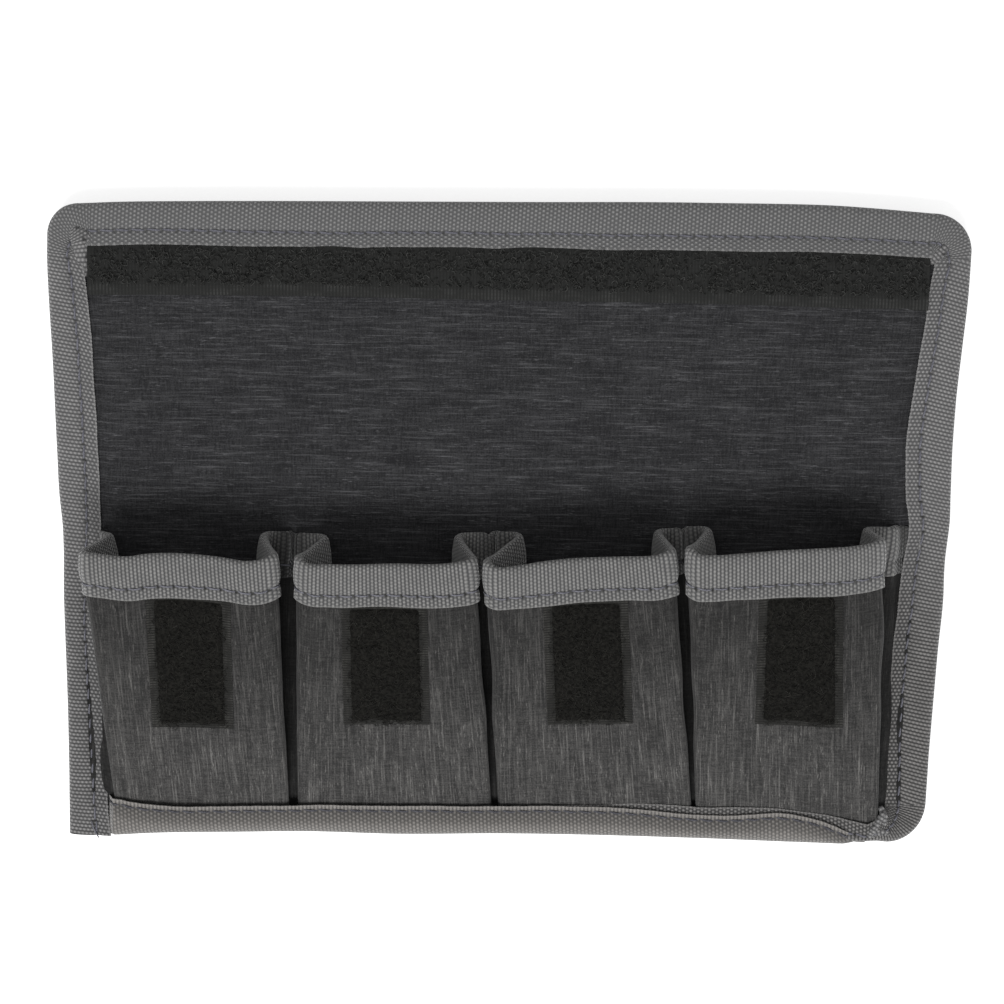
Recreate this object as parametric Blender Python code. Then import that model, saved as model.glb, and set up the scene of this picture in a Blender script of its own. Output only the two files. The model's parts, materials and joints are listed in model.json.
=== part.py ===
"""Camera battery pouch with four pleated pockets, lying open on its back.

+X runs across the pockets, +Y from the bottom seam to the tip of the flap, and +Z up out
of the pocket fronts. The origin is under the middle of the open pouch, on the surface that
it lies on. The back panel carries the pockets, the spine wraps over their mouths, and the
flap comes down over their fronts. Fold 1 joins back and spine, fold 2 spine and flap.
"""
import math

import bmesh
import bpy
from mathutils import Vector

MM = 0.001

# Clearances between neighbouring pieces
GAP = 0.3 * MM
FOLD_GAP = 0.3 * MM
PLEAT_GAP = 0.5 * MM
PLEAT_SLACK = 0.2 * MM
FLAP_CLEARANCE = 1.8 * MM

# Cloth, foam and tape
SHELL_T = 0.7 * MM
FOAM_T = 1.4 * MM
LINING_T = 0.6 * MM
SHEET_T = 0.7 * MM
TAPE_T = 0.6 * MM
TAPE_FACE = 10.0 * MM
CORNER_R = 6.0 * MM
BORDER_SLOPE = 2.2 * MM

# Belt loop under the back panel
STRAP_T = 1.2 * MM
STRAP_WIDTH = 44.0 * MM
STRAP_LENGTH = 52.0 * MM
STRAP_TAB = 10.0 * MM
STRAP_TO_FOLD = 1.2 * MM
BELT_SLOT = 4.8 * MM

# Pleated pocket strip
POCKETS = 4
POCKET_PITCH = 45.0 * MM
STRIP_MARGIN = 1.0 * MM
POCKET_DEPTH = 20.0 * MM
FRONT_RUN = 63.15 * MM
RIM_SETBACK = 1.75 * MM
RIM_TO_FOLD = 3.7 * MM
RIM_TAPE_FACE = 11.0 * MM
RIM_FRONT_GAP = 1.3 * MM
BOTTOM_FRONT_GAP = 0.9 * MM
RIM_LEAN = 6.2 * MM
BOTTOM_LEAN = 11.0 * MM
INNER_BEND = 0.95 * MM
FOOT_RAMP = 4.0 * MM
BOTTOM_LIP = 7.45 * MM

# Touch fastener: a loop patch on each pocket, one hook strip on the flap
PATCH_WIDTH = 19.5 * MM
PATCH_LENGTH = 29.0 * MM
PILE_T = 1.6 * MM
HOOK_T = 1.3 * MM
FASTENER_BASE_T = 0.7 * MM
SELVAGE = 1.6 * MM
SELVAGE_STEP = 0.25 * MM
HOOK_STRIP_WIDTH = 11.0 * MM

# Flap
FLAP_LENGTH = 48.0 * MM

ARC_STEPS = 5
CORNER_STEPS = 6

# Levels of the flat panels, from the surface up
SHELL_Z = STRAP_T + BELT_SLOT
FOAM_Z = SHELL_Z + SHELL_T + GAP
LINING_Z = FOAM_Z + FOAM_T + GAP
INNER_Z = LINING_Z + LINING_T
BORDER_Z = SHELL_Z + SHELL_T + GAP
BORDER_TOP_Z = BORDER_Z + LINING_T
TAPE_Z = SHELL_Z - GAP - TAPE_T
TAPE_TOP_Z = BORDER_TOP_Z + GAP + TAPE_T
TAPE_FOLD_R = (TAPE_TOP_Z - TAPE_Z) / 2

# Pocket strip: heights of the middle of the sheet, and the sizes of its bends
SHEET_HALF = SHEET_T / 2
TAPE_INNER = SHEET_HALF + GAP
TAPE_OUTER = TAPE_INNER + TAPE_T
RIM_BEND = TAPE_OUTER + INNER_BEND
BOTTOM_BEND = (SHEET_T + PLEAT_GAP) / 2
RIM_FRONT_Z = INNER_Z + POCKET_DEPTH + SHEET_HALF
BOTTOM_FOOT_Z = BORDER_TOP_Z + TAPE_INNER
BOTTOM_FRONT_Z = BOTTOM_FOOT_Z + 4 * BOTTOM_BEND + PLEAT_SLACK
SEAM_TOP_Z = BOTTOM_FRONT_Z + TAPE_OUTER
SEAM_R = (SEAM_TOP_Z - TAPE_Z) / 2

# Plan of the open pouch
HALF_STRIP = POCKETS * POCKET_PITCH / 2 + STRIP_MARGIN
HALF_WIDTH = HALF_STRIP + TAPE_FACE
SPINE_LENGTH = RIM_FRONT_Z + TAPE_OUTER - INNER_Z + FLAP_CLEARANCE
BACK_LENGTH = BOTTOM_LIP + FRONT_RUN + RIM_SETBACK + RIM_TO_FOLD
OPEN_LENGTH = BACK_LENGTH + SPINE_LENGTH + FLAP_LENGTH
BOTTOM_Y = -OPEN_LENGTH / 2
LIP_Y = BOTTOM_Y + BOTTOM_LIP
HEM_Y = BOTTOM_Y + SEAM_R
FOLD_1_Y = BOTTOM_Y + BACK_LENGTH
FOLD_2_Y = FOLD_1_Y + SPINE_LENGTH
TIP_Y = FOLD_2_Y + FLAP_LENGTH
RIM_Y = FOLD_1_Y - RIM_TO_FOLD
FRONT_RIM_Y = RIM_Y - RIM_SETBACK
RIM_TAPE_Y = RIM_Y - RIM_TAPE_FACE
FRONT_SLOPE = (RIM_FRONT_Z - BOTTOM_FRONT_Z) / (FRONT_RIM_Y - LIP_Y)

# Widths measured inward from the pouch's edge
EDGE_INSET = TAPE_FOLD_R
BORDER_INSET = TAPE_FACE + GAP
RAISED_INSET = BORDER_INSET + BORDER_SLOPE
FOAM_INSET = RAISED_INSET + GAP

RIGHT, LEFT, UP, DOWN = Vector((1, 0)), Vector((-1, 0)), Vector((0, 1)), Vector((0, -1))


def clear_scene():
    for item in list(bpy.data.objects):
        bpy.data.objects.remove(item, do_unlink=True)


def cloth(name, colour, roughness):
    material = bpy.data.materials.new(name)
    material.use_nodes = True
    shader = material.node_tree.nodes["Principled BSDF"]
    shader.inputs["Base Color"].default_value = (*colour, 1)
    shader.inputs["Roughness"].default_value = roughness
    shader.inputs["Metallic"].default_value = 0
    return material


def pivot(name, y, parent=None):
    """An empty on a fold line, at the height of the pouch's inner face."""
    empty = bpy.data.objects.new(name, None)
    bpy.context.scene.collection.objects.link(empty)
    place = Vector((0, y, INNER_Z))
    empty.parent = parent
    empty.location = place - (parent.location if parent else Vector((0, 0, 0)))
    empty["place"] = place
    return empty


def sheet_solid(name, upper, lower, faces, look, parent=None):
    """Close a sheet: its upper points, its lower points and a wall round each open edge."""
    origin = Vector(parent["place"]) if parent else Vector((0, 0, 0))
    mesh = bpy.data.meshes.new(name)
    bm = bmesh.new()
    tops = [bm.verts.new(Vector(point) - origin) for point in upper]
    bottoms = [bm.verts.new(Vector(point) - origin) for point in lower]
    uses = {}
    for face in faces:
        bm.faces.new([tops[i] for i in face])
        bm.faces.new([bottoms[i] for i in reversed(face)])
        for a, b in zip(face, face[1:] + face[:1]):
            uses.setdefault(frozenset((a, b)), []).append((a, b))
    for edges in uses.values():
        if len(edges) == 1:
            a, b = edges[0]
            bm.faces.new([tops[b], tops[a], bottoms[a], bottoms[b]])
    bmesh.ops.remove_doubles(bm, verts=bm.verts, dist=GAP / 1000)
    bmesh.ops.recalc_face_normals(bm, faces=bm.faces)
    bm.to_mesh(mesh)
    bm.free()
    mesh.materials.append(look)
    item = bpy.data.objects.new(name, mesh)
    bpy.context.scene.collection.objects.link(item)
    item.parent = parent
    mesh.shade_smooth()
    mesh.set_sharp_from_angle(angle=math.radians(35))
    return item


def grid_faces(rows, columns):
    return [
        [r * columns + c, r * columns + c + 1, (r + 1) * columns + c + 1, (r + 1) * columns + c]
        for r in range(rows - 1)
        for c in range(columns - 1)
    ]


def grid_solid(name, upper, lower, look, parent=None):
    faces = grid_faces(len(upper), len(upper[0]))
    flat_upper = [point for row in upper for point in row]
    flat_lower = [point for row in lower for point in row]
    return sheet_solid(name, flat_upper, flat_lower, faces, look, parent)


# The pouch's edge is a list of stations (centre, outward direction, radius, mitre). A point
# at some inset lies on the arc's radius, or past its centre on the mitre line.
def straight(x, y, inward):
    return (Vector((x, y)), -inward, 0, inward)


def corner(x, y, first_inward, second_inward):
    centre = Vector((x, y)) + CORNER_R * (first_inward + second_inward)
    stations = []
    for step in range(CORNER_STEPS + 1):
        turn = math.pi / 2 * step / CORNER_STEPS
        outward = -first_inward * math.cos(turn) - second_inward * math.sin(turn)
        stations.append((centre, outward, CORNER_R, first_inward + second_inward))
    return stations


def inset_point(station, inset):
    centre, outward, radius, mitre = station
    if inset <= radius:
        return centre + outward * (radius - inset)
    return centre + mitre * (inset - radius)


def panel_edges():
    """The bound sides of each panel, anticlockwise, with the inside on the left."""
    back_top = FOLD_1_Y - FOLD_GAP / 2
    spine_bottom, spine_top = FOLD_1_Y + FOLD_GAP / 2, FOLD_2_Y - FOLD_GAP / 2
    flap_bottom = FOLD_2_Y + FOLD_GAP / 2
    back = [straight(-HALF_WIDTH, back_top, RIGHT), straight(-HALF_WIDTH, BOTTOM_Y, RIGHT + UP)]
    back += corner(HALF_WIDTH, BOTTOM_Y, UP, LEFT)
    back += [straight(HALF_WIDTH, back_top, LEFT)]
    spine_right = [straight(HALF_WIDTH, spine_bottom, LEFT), straight(HALF_WIDTH, spine_top, LEFT)]
    spine_left = [straight(-HALF_WIDTH, spine_top, RIGHT), straight(-HALF_WIDTH, spine_bottom, RIGHT)]
    flap = [straight(HALF_WIDTH, flap_bottom, LEFT)]
    flap += corner(HALF_WIDTH, TIP_Y, LEFT, DOWN)
    flap += corner(-HALF_WIDTH, TIP_Y, DOWN, RIGHT)
    flap += [straight(-HALF_WIDTH, flap_bottom, RIGHT)]
    return {"back": [back], "spine": [spine_right, spine_left], "flap": [flap]}


def panel_point(station, inset, z):
    """A cloth point, held inside the fold of the thick bottom seam."""
    point = inset_point(station, inset)
    return (point.x, max(point.y, HEM_Y), z)


def outer_shell(name, sides, look, parent):
    stations = [station for side in sides for station in side]
    upper = [panel_point(s, EDGE_INSET, SHELL_Z + SHELL_T) for s in stations]
    lower = [panel_point(s, EDGE_INSET, SHELL_Z) for s in stations]
    return sheet_solid(name, upper, lower, [list(range(len(stations)))], look, parent)


def foam(name, sides, look, parent):
    """The foam stops short of the bound edges, and reaches the fold lines."""
    edge = [inset_point(s, FOAM_INSET) for side in sides for s in side]
    low_x, high_x = min(p.x for p in edge), max(p.x for p in edge)
    low_y, high_y = min(p.y for p in edge), max(p.y for p in edge)
    plan = [(low_x, low_y), (high_x, low_y), (high_x, high_y), (low_x, high_y)]
    upper = [(x, y, FOAM_Z + FOAM_T) for x, y in plan]
    lower = [(x, y, FOAM_Z) for x, y in plan]
    return sheet_solid(name, upper, lower, [[0, 1, 2, 3]], look, parent)


def lining(name, sides, look, parent):
    """The lining lies on the foam and drops to the outer shell along the bound edges."""
    levels = [(EDGE_INSET, BORDER_Z), (BORDER_INSET, BORDER_Z), (RAISED_INSET, LINING_Z)]
    lower, faces, middle = [], [], []
    for side in sides:
        start = len(lower)
        for station in side:
            lower += [panel_point(station, inset, z) for inset, z in levels]
            middle.append(len(lower) - 1)
        for a, b, c, d in grid_faces(len(side), len(levels)):
            faces.append([start + a, start + d, start + c, start + b])
    faces.append(middle)
    upper = [(x, y, z + LINING_T) for x, y, z in lower]
    return sheet_solid(name, upper, lower, faces, look, parent)


def tape_profile(top_z, upper_face, thickness):
    """Half-round folded tape as (inset, height), at a depth inside its outer surface."""
    fold = (top_z - TAPE_Z) / 2
    middle = (top_z + TAPE_Z) / 2
    radius = fold - thickness
    points = [(upper_face, top_z - thickness)]
    for step in range(2 * ARC_STEPS + 1):
        turn = math.pi * step / (2 * ARC_STEPS)
        points.append((fold - radius * math.sin(turn), middle + radius * math.cos(turn)))
    return points + [(TAPE_FACE, TAPE_Z + thickness)]


def edge_tape(name, stations, rises, look, parent):
    """A tape folded round the edge, raised at some stations to the thick bottom seam."""
    outer, inner = [], []
    for station, rise in zip(stations, rises):
        top_z = TAPE_TOP_Z + rise * (SEAM_TOP_Z - TAPE_TOP_Z)
        face = TAPE_FACE + rise * (BOTTOM_LIP - TAPE_FACE)
        for row, thickness in ((outer, 0), (inner, TAPE_T)):
            profile = tape_profile(top_z, face, thickness)
            row.append([(*inset_point(station, inset), z) for inset, z in profile])
    return grid_solid(name, outer, inner, look, parent)


def bottom_tape_path(back):
    """Right side and rounded corner at panel height, then up over the pocket seam."""
    right = back[2:]
    seam = [straight(x, BOTTOM_Y, UP) for x in (-HALF_STRIP + GAP, HALF_STRIP - GAP)]
    return seam + right, [1, 1] + [0] * len(right)


def foot_height(y):
    """Height of the flanges: raised over the rim tape, lowered into the bottom seam."""
    resting = INNER_Z + TAPE_INNER
    over_tape = INNER_Z + GAP + TAPE_OUTER
    if y > RIM_TAPE_Y - FOOT_RAMP:
        share = min(1, (y - RIM_TAPE_Y + FOOT_RAMP) / (FOOT_RAMP - GAP))
        return resting + share * (over_tape - resting)
    share = (BOTTOM_Y + RAISED_INSET + GAP - y) / BORDER_SLOPE
    share = min(1, max(0, share))
    return resting + share * (BOTTOM_FOOT_Z - resting)


def front_height(y):
    return RIM_FRONT_Z + (y - FRONT_RIM_Y) * FRONT_SLOPE


def half_section(y, flange_end):
    """Right half of a pocket's section: front, gusset tucked in behind it, flange.

    Returned as (x, y, z) of the middle of the sheet with the direction of its outer face.
    """
    down = min(1, (RIM_Y - y) / (RIM_Y - LIP_Y))
    bend = RIM_BEND + down * (BOTTOM_BEND - RIM_BEND)
    lean = RIM_LEAN + down * (BOTTOM_LEAN - RIM_LEAN)
    rim_half = (POCKET_PITCH - RIM_FRONT_GAP) / 2 - TAPE_OUTER
    bottom_half = (POCKET_PITCH - BOTTOM_FRONT_GAP) / 2 - SHEET_HALF
    half = rim_half + down * (bottom_half - rim_half)
    front_y = y - RIM_SETBACK * (1 - down)
    foot_z = foot_height(y)
    depth = front_height(max(front_y, LIP_Y)) - foot_z
    edge_bend = Vector((half - bend, depth - bend))
    foot_bend = Vector((half - lean + bend, bend))
    span = foot_bend - edge_bend
    heading = math.atan2(span.y, span.x) - math.asin(2 * bend / span.length)
    sweep = -heading
    points = [(Vector((0, depth)), Vector((0, 1)))]
    for step in range(ARC_STEPS + 1):
        turn = math.pi / 2 - sweep * step / ARC_STEPS
        way = Vector((math.cos(turn), math.sin(turn)))
        points.append((edge_bend + bend * way, way))
    for step in range(ARC_STEPS + 1):
        turn = math.pi * 3 / 2 - sweep * (1 - step / ARC_STEPS)
        way = Vector((math.cos(turn), math.sin(turn)))
        points.append((foot_bend + bend * way, -way))
    points.append((Vector((flange_end, 0)), Vector((0, 1))))
    return [
        (Vector((p.x, y + (front_y - y) * p.y / depth, foot_z + p.y)), Vector((way.x, 0, way.y)))
        for p, way in points
    ]


def pocket_section(number, y):
    """The whole section of one pocket, left to right, in place."""
    centre = (number - (POCKETS + 1) / 2) * POCKET_PITCH
    inner_end = (POCKET_PITCH - GAP) / 2
    outer_end = HALF_STRIP - GAP - abs(centre)
    left_end = outer_end if number == 1 else inner_end
    right_end = outer_end if number == POCKETS else inner_end
    shift = Vector((centre, 0, 0))
    flip = Vector((-1, 1, 1))
    left = [(p * flip + shift, way * flip) for p, way in half_section(y, left_end)]
    right = [(p + shift, way) for p, way in half_section(y, right_end)]
    return left[:0:-1] + right


def pocket(number, look):
    """One pocket as a bent sheet, from the rim down into the bottom seam."""
    border = BOTTOM_Y + RAISED_INSET + GAP
    middle = (RIM_TAPE_Y - FOOT_RAMP + border) / 2
    levels = [RIM_Y, RIM_TAPE_Y - GAP, RIM_TAPE_Y - FOOT_RAMP, middle, border]
    levels += [border - BORDER_SLOPE, LIP_Y, HEM_Y]
    outer, inner = [], []
    for y in levels:
        section = pocket_section(number, y)
        outer.append([p + way * SHEET_HALF for p, way in section])
        inner.append([p - way * SHEET_HALF for p, way in section])
    return grid_solid(f"pocket_{number}", outer, inner, look)


def rim_tape(look):
    """One tape folded over the rim of the whole strip, in and out of its pleats."""
    turns = [math.pi * step / (2 * ARC_STEPS) for step in range(2 * ARC_STEPS + 1)]
    outer, inner = [], []
    for rows, offset in ((outer, TAPE_OUTER), (inner, TAPE_INNER)):
        track = [(RIM_TAPE_Y, offset)]
        track += [(RIM_Y + offset * math.sin(turn), offset * math.cos(turn)) for turn in turns]
        track += [(RIM_TAPE_Y, -offset)]
        for y, out in track:
            strip = [item for number in range(1, POCKETS + 1) for item in pocket_section(number, y)]
            rows.append([p + way * out for p, way in strip])
    return grid_solid("pocket_rim_tape", outer, inner, look)


def loop_patch(number, look):
    """Loop pile between two selvages, lying on the slope of a pocket front."""
    centre = (number - (POCKETS + 1) / 2) * POCKET_PITCH
    edge = PATCH_WIDTH / 2
    pile = edge - SELVAGE
    heights = [(-edge, FASTENER_BASE_T), (-pile, FASTENER_BASE_T), (-pile + SELVAGE_STEP, PILE_T)]
    heights += [(-x, height) for x, height in reversed(heights)]
    normal = Vector((0, -FRONT_SLOPE, 1)).normalized()
    top = RIM_TAPE_Y - RIM_SETBACK - GAP
    upper, lower = [], []
    for y in (top, top - PATCH_LENGTH):
        face = [Vector((centre + x, y, front_height(y))) for x, height in heights]
        lower.append([p + normal * (SHEET_HALF + GAP) for p in face])
        upper.append([p + normal * (SHEET_HALF + GAP + h) for p, (x, h) in zip(face, heights)])
    return grid_solid(f"loop_patch_{number}", upper, lower, look)


def hook_strip(look, parent):
    """Hook tape across the flap, its upper edge against the tape of the tip."""
    top = TIP_Y - TAPE_FACE - GAP
    low = top - HOOK_STRIP_WIDTH
    heights = [(low, FASTENER_BASE_T), (low + SELVAGE, FASTENER_BASE_T)]
    heights += [(low + SELVAGE + SELVAGE_STEP, HOOK_T), (top, HOOK_T)]
    edge = HALF_STRIP - GAP
    upper = [[(x, y, INNER_Z + GAP + h) for x in (-edge, edge)] for y, h in heights]
    lower = [[(x, y, INNER_Z + GAP) for x in (-edge, edge)] for y, h in heights]
    return grid_solid("hook_strip", upper, lower, look, parent)


def belt_loop(look):
    """Webbing strap with both ends turned under and sewn to the back panel."""
    top = FOLD_1_Y - STRAP_TO_FOLD
    tab_z = SHELL_Z - GAP - STRAP_T / 2
    flat_z = STRAP_T / 2
    bend = (tab_z - flat_z) / 2
    middle = (tab_z + flat_z) / 2
    far = bend + STRAP_T / 2
    track = [((top - far - STRAP_TAB, tab_z), (0, 1))]
    for step in range(2 * ARC_STEPS + 1):
        turn = math.pi / 2 - math.pi * step / (2 * ARC_STEPS)
        way = (math.cos(turn), math.sin(turn))
        track.append(((top - far + bend * way[0], middle + bend * way[1]), way))
    base = top - STRAP_LENGTH + far
    for step in range(2 * ARC_STEPS + 1):
        turn = -math.pi / 2 - math.pi * step / (2 * ARC_STEPS)
        way = (math.cos(turn), math.sin(turn))
        track.append(((base + bend * way[0], middle + bend * way[1]), way))
    track.append(((base + STRAP_TAB, tab_z), (0, 1)))
    rows = []
    for offset in (STRAP_T / 2, -STRAP_T / 2):
        rows.append([
            [(x, y + way[0] * offset, z + way[1] * offset) for x in (-STRAP_WIDTH / 2, STRAP_WIDTH / 2)]
            for (y, z), way in track
        ])
    return grid_solid("belt_loop", rows[0], rows[1], look)


def build():
    clear_scene()
    shell_look = cloth("outer_shell", (0.05, 0.05, 0.053), 0.85)
    foam_look = cloth("foam", (0.35, 0.35, 0.34), 0.9)
    lining_look = cloth("lining", (0.043, 0.043, 0.045), 0.8)
    pocket_look = cloth("pocket_cloth", (0.07, 0.068, 0.067), 0.85)
    tape_look = cloth("tape", (0.145, 0.143, 0.143), 0.75)
    loop_look = cloth("loop_pile", (0.015, 0.015, 0.013), 0.95)
    hook_look = cloth("hook_tape", (0.021, 0.021, 0.02), 0.5)
    strap_look = cloth("strap", (0.13, 0.13, 0.13), 0.7)

    spine_pivot = pivot("fold_1_pivot", FOLD_1_Y)
    flap_pivot = pivot("fold_2_pivot", FOLD_2_Y, spine_pivot)
    edges = panel_edges()
    for name, parent in (("back", None), ("spine", spine_pivot), ("flap", flap_pivot)):
        outer_shell(f"{name}_outer_shell", edges[name], shell_look, parent)
        foam(f"{name}_foam", edges[name], foam_look, parent)
        lining(f"{name}_lining", edges[name], lining_look, parent)

    back = edges["back"][0]
    left_edge = [straight(-HALF_WIDTH, y, RIGHT) for y in (FOLD_1_Y - FOLD_GAP / 2, BOTTOM_Y)]
    edge_tape("back_edge_tape_left", left_edge, [0, 0], tape_look, None)
    edge_tape("back_edge_tape_right", *bottom_tape_path(back), tape_look, None)
    for side, stations in zip(("right", "left"), edges["spine"]):
        edge_tape(f"spine_edge_tape_{side}", stations, [0, 0], tape_look, spine_pivot)
    flap = edges["flap"][0]
    edge_tape("flap_edge_tape", flap, [0] * len(flap), tape_look, flap_pivot)

    for number in range(1, POCKETS + 1):
        pocket(number, pocket_look)
        loop_patch(number, loop_look)
    rim_tape(tape_look)
    hook_strip(hook_look, flap_pivot)
    belt_loop(strap_look)


build()
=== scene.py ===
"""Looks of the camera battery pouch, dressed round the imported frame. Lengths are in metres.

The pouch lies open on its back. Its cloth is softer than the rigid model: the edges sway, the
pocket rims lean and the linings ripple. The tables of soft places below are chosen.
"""
import json
import math

import bmesh
import bpy
import numpy as np
from mathutils import Matrix, Vector


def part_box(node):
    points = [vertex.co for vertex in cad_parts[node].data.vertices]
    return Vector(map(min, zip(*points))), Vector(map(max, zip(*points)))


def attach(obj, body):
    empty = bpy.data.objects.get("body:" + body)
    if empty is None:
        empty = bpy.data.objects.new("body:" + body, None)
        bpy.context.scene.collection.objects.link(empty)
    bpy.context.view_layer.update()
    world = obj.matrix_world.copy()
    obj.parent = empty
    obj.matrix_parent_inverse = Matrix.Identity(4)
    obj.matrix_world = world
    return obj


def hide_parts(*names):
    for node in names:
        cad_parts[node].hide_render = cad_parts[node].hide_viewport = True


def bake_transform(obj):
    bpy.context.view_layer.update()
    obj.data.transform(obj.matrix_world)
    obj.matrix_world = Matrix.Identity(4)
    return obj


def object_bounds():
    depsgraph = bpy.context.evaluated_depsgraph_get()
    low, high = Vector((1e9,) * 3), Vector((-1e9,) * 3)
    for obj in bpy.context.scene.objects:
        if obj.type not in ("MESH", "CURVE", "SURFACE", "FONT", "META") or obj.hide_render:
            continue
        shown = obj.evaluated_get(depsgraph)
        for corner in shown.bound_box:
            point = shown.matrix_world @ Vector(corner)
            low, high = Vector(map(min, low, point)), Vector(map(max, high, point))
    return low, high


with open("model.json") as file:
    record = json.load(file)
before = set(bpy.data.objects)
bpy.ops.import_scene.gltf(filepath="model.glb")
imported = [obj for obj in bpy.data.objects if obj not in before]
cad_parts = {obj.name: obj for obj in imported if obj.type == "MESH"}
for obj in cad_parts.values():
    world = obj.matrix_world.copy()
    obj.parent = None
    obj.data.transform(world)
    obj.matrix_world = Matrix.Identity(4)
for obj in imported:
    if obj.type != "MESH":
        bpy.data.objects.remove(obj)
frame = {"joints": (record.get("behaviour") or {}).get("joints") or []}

MM = 0.001
CAD_LOW, CAD_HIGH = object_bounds()

# Places of the frame
FOLDS = {joint["name"]: joint["pos_m"] for joint in frame["joints"]}
FOLD_1_Y, INNER_Z = FOLDS["fold_1"][1:]
FOLD_2_Y = FOLDS["fold_2"][1]
SPLIT_Y = (FOLD_1_Y + FOLD_2_Y) / 2
HALF_WIDTH = CAD_HIGH.x
TIP_Y, BOTTOM_Y = CAD_HIGH.y, CAD_LOW.y
SHELL_LOW_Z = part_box("back_outer_shell")[0].z
SHELL_TOP_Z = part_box("back_outer_shell")[1].z
LINING_T = INNER_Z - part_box("back_foam")[1].z - 0.3 * MM
BORDER_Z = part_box("back_lining")[0].z
TAPE_LOW_Z, TAPE_TOP_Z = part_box("spine_edge_tape_left")[0].z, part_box("spine_edge_tape_left")[1].z
SEAM_TOP_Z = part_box("back_edge_tape_right")[1].z
RIM_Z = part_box("pocket_rim_tape")[1].z

# Tape and thread
TAPE_T = 0.5 * MM
TAPE_WIDTH = 21.0 * MM
STITCH_PITCH = 3.5 * MM
STITCH_INSET = 3.2 * MM
STITCH_SHARE = 0.84
STITCH_POINTS = 7
STITCH_HIGH = 0.384 * MM
STITCH_SUNK = 0.144 * MM
STITCH_DRIFT = 0.16 * MM
THREAD_R = 0.23 * MM

# How far the soft edges stand outside the frame's straight ones, as (place along, distance)
LEFT_SWAY = ((-74, -1.1), (-54, -1.1), (-42, -0.95), (-19, -0.4), (0, -0.2), (4.5, 0.25), (16, 0.75),
             (39, 1.6), (50, 2.15), (59, 2.45), (74, 2.1))
RIGHT_SWAY = ((-74, -2.4), (-58, -2.0), (-51, -1.85), (-39, -1.4), (-28, -0.9), (-16, -0.1), (-7, 0.0),
              (3, 0.75), (10, 0.6), (19, 0.55), (30, 1.0), (42, 1.9), (53, 2.75), (62, 3.05), (74, 3.1))
TOP_SWAY = ((-101, -2.3), (-91, -1.6), (-69, -1.0), (-40, -0.65), (0, -0.25), (43, 0.1), (76, -0.2),
            (88, -0.9), (101, -1.9))
BOTTOM_SWAY = ((-101, -0.3), (-93, -0.2), (-80, 0.6), (-60, 1.15), (-46, 1.5), (-23, 1.2), (0, 1.65),
               (47, 1.2), (70, 0.6), (88, 0.35), (101, 1.2))
LEFT_FACE = ((-74, 9.9), (-63, 9.0), (-55, 8.7), (-2, 8.8), (6, 9.5), (16, 9.5), (44, 9.1), (55, 8.75),
             (62, 7.75), (74, 7.7))
RIGHT_FACE = ((-74, 9.6), (-65, 9.7), (-40, 10.6), (-20, 10.5), (-9, 10.0), (0, 9.3), (7, 10.1),
              (45, 9.4), (55, 9.0), (62, 8.0), (74, 8.0))
TOP_FACE = ((-101, 9.2), (-77, 9.5), (-48, 10.05), (-23, 10.0), (9, 10.15), (38, 10.45), (60, 10.3),
            (74, 10.3), (88, 9.9), (101, 9.6))


def stack(*parts):
    """Arrays spread to one shape and joined to points."""
    return np.stack(np.broadcast_arrays(*parts), -1)


def table(points):
    """A smooth curve through points given in millimetres."""
    xs, ys = np.array(points, float).T * MM
    slopes = np.gradient(ys, xs)

    def curve(x):
        x = np.clip(x, xs[0], xs[-1])
        i = np.clip(np.searchsorted(xs, x) - 1, 0, len(xs) - 2)
        width = xs[i + 1] - xs[i]
        t = (x - xs[i]) / width
        start = (2 * t**3 - 3 * t**2 + 1) * ys[i] + (t**3 - 2 * t**2 + t) * width * slopes[i]
        end = (3 * t**2 - 2 * t**3) * ys[i + 1] + (t**3 - t**2) * width * slopes[i + 1]
        return start + end

    return curve


left_sway, right_sway = table(LEFT_SWAY), table(RIGHT_SWAY)
top_sway, bottom_sway = table(TOP_SWAY), table(BOTTOM_SWAY)
left_face, right_face, top_face = table(LEFT_FACE), table(RIGHT_FACE), table(TOP_FACE)


def ease(t):
    t = np.clip(t, 0, 1)
    return t * t * (3 - 2 * t)


def bell(off, width):
    """A smooth bump: 1 in the middle, about 0.4 at a width from it."""
    return np.exp(-(off / width) ** 2)


def inside(x, y, low=CAD_LOW, high=CAD_HIGH):
    """How far places are from the nearest edge of a box."""
    return np.minimum.reduce([x - low.x, high.x - x, y - low.y, high.y - y])


def ripple(x, y, size, seed):
    """Smooth waves of about one unit's height, the same on every run."""
    rng = np.random.default_rng(seed)
    total = 0
    for _ in range(5):
        way = rng.uniform(0, 2 * math.pi)
        reach = size * rng.uniform(0.7, 1.6)
        total = total + np.sin((x * math.cos(way) + y * math.sin(way)) * 2 * math.pi / reach
                               + rng.uniform(0, 2 * math.pi))
    return total / 3


def soft(points):
    """Points of the straight plan moved to the swaying one; heights stay."""
    x, y, z = np.moveaxis(np.asarray(points, float), -1, 0)
    near_top = ease((y - 35 * MM) / (35 * MM))
    near_bottom = ease((-45 * MM - y) / (25 * MM))
    share = np.clip(x / HALF_WIDTH, -1.1, 1.1)
    new_x = x + np.maximum(share, 0) * right_sway(y) + np.minimum(share, 0) * left_sway(y)
    return stack(new_x, y + near_top * top_sway(x) + near_bottom * bottom_sway(x), z)


# Meshes
def put(name, data):
    """A new object in the scene."""
    item = bpy.data.objects.new(name, data)
    bpy.context.scene.collection.objects.link(item)
    return item


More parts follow.
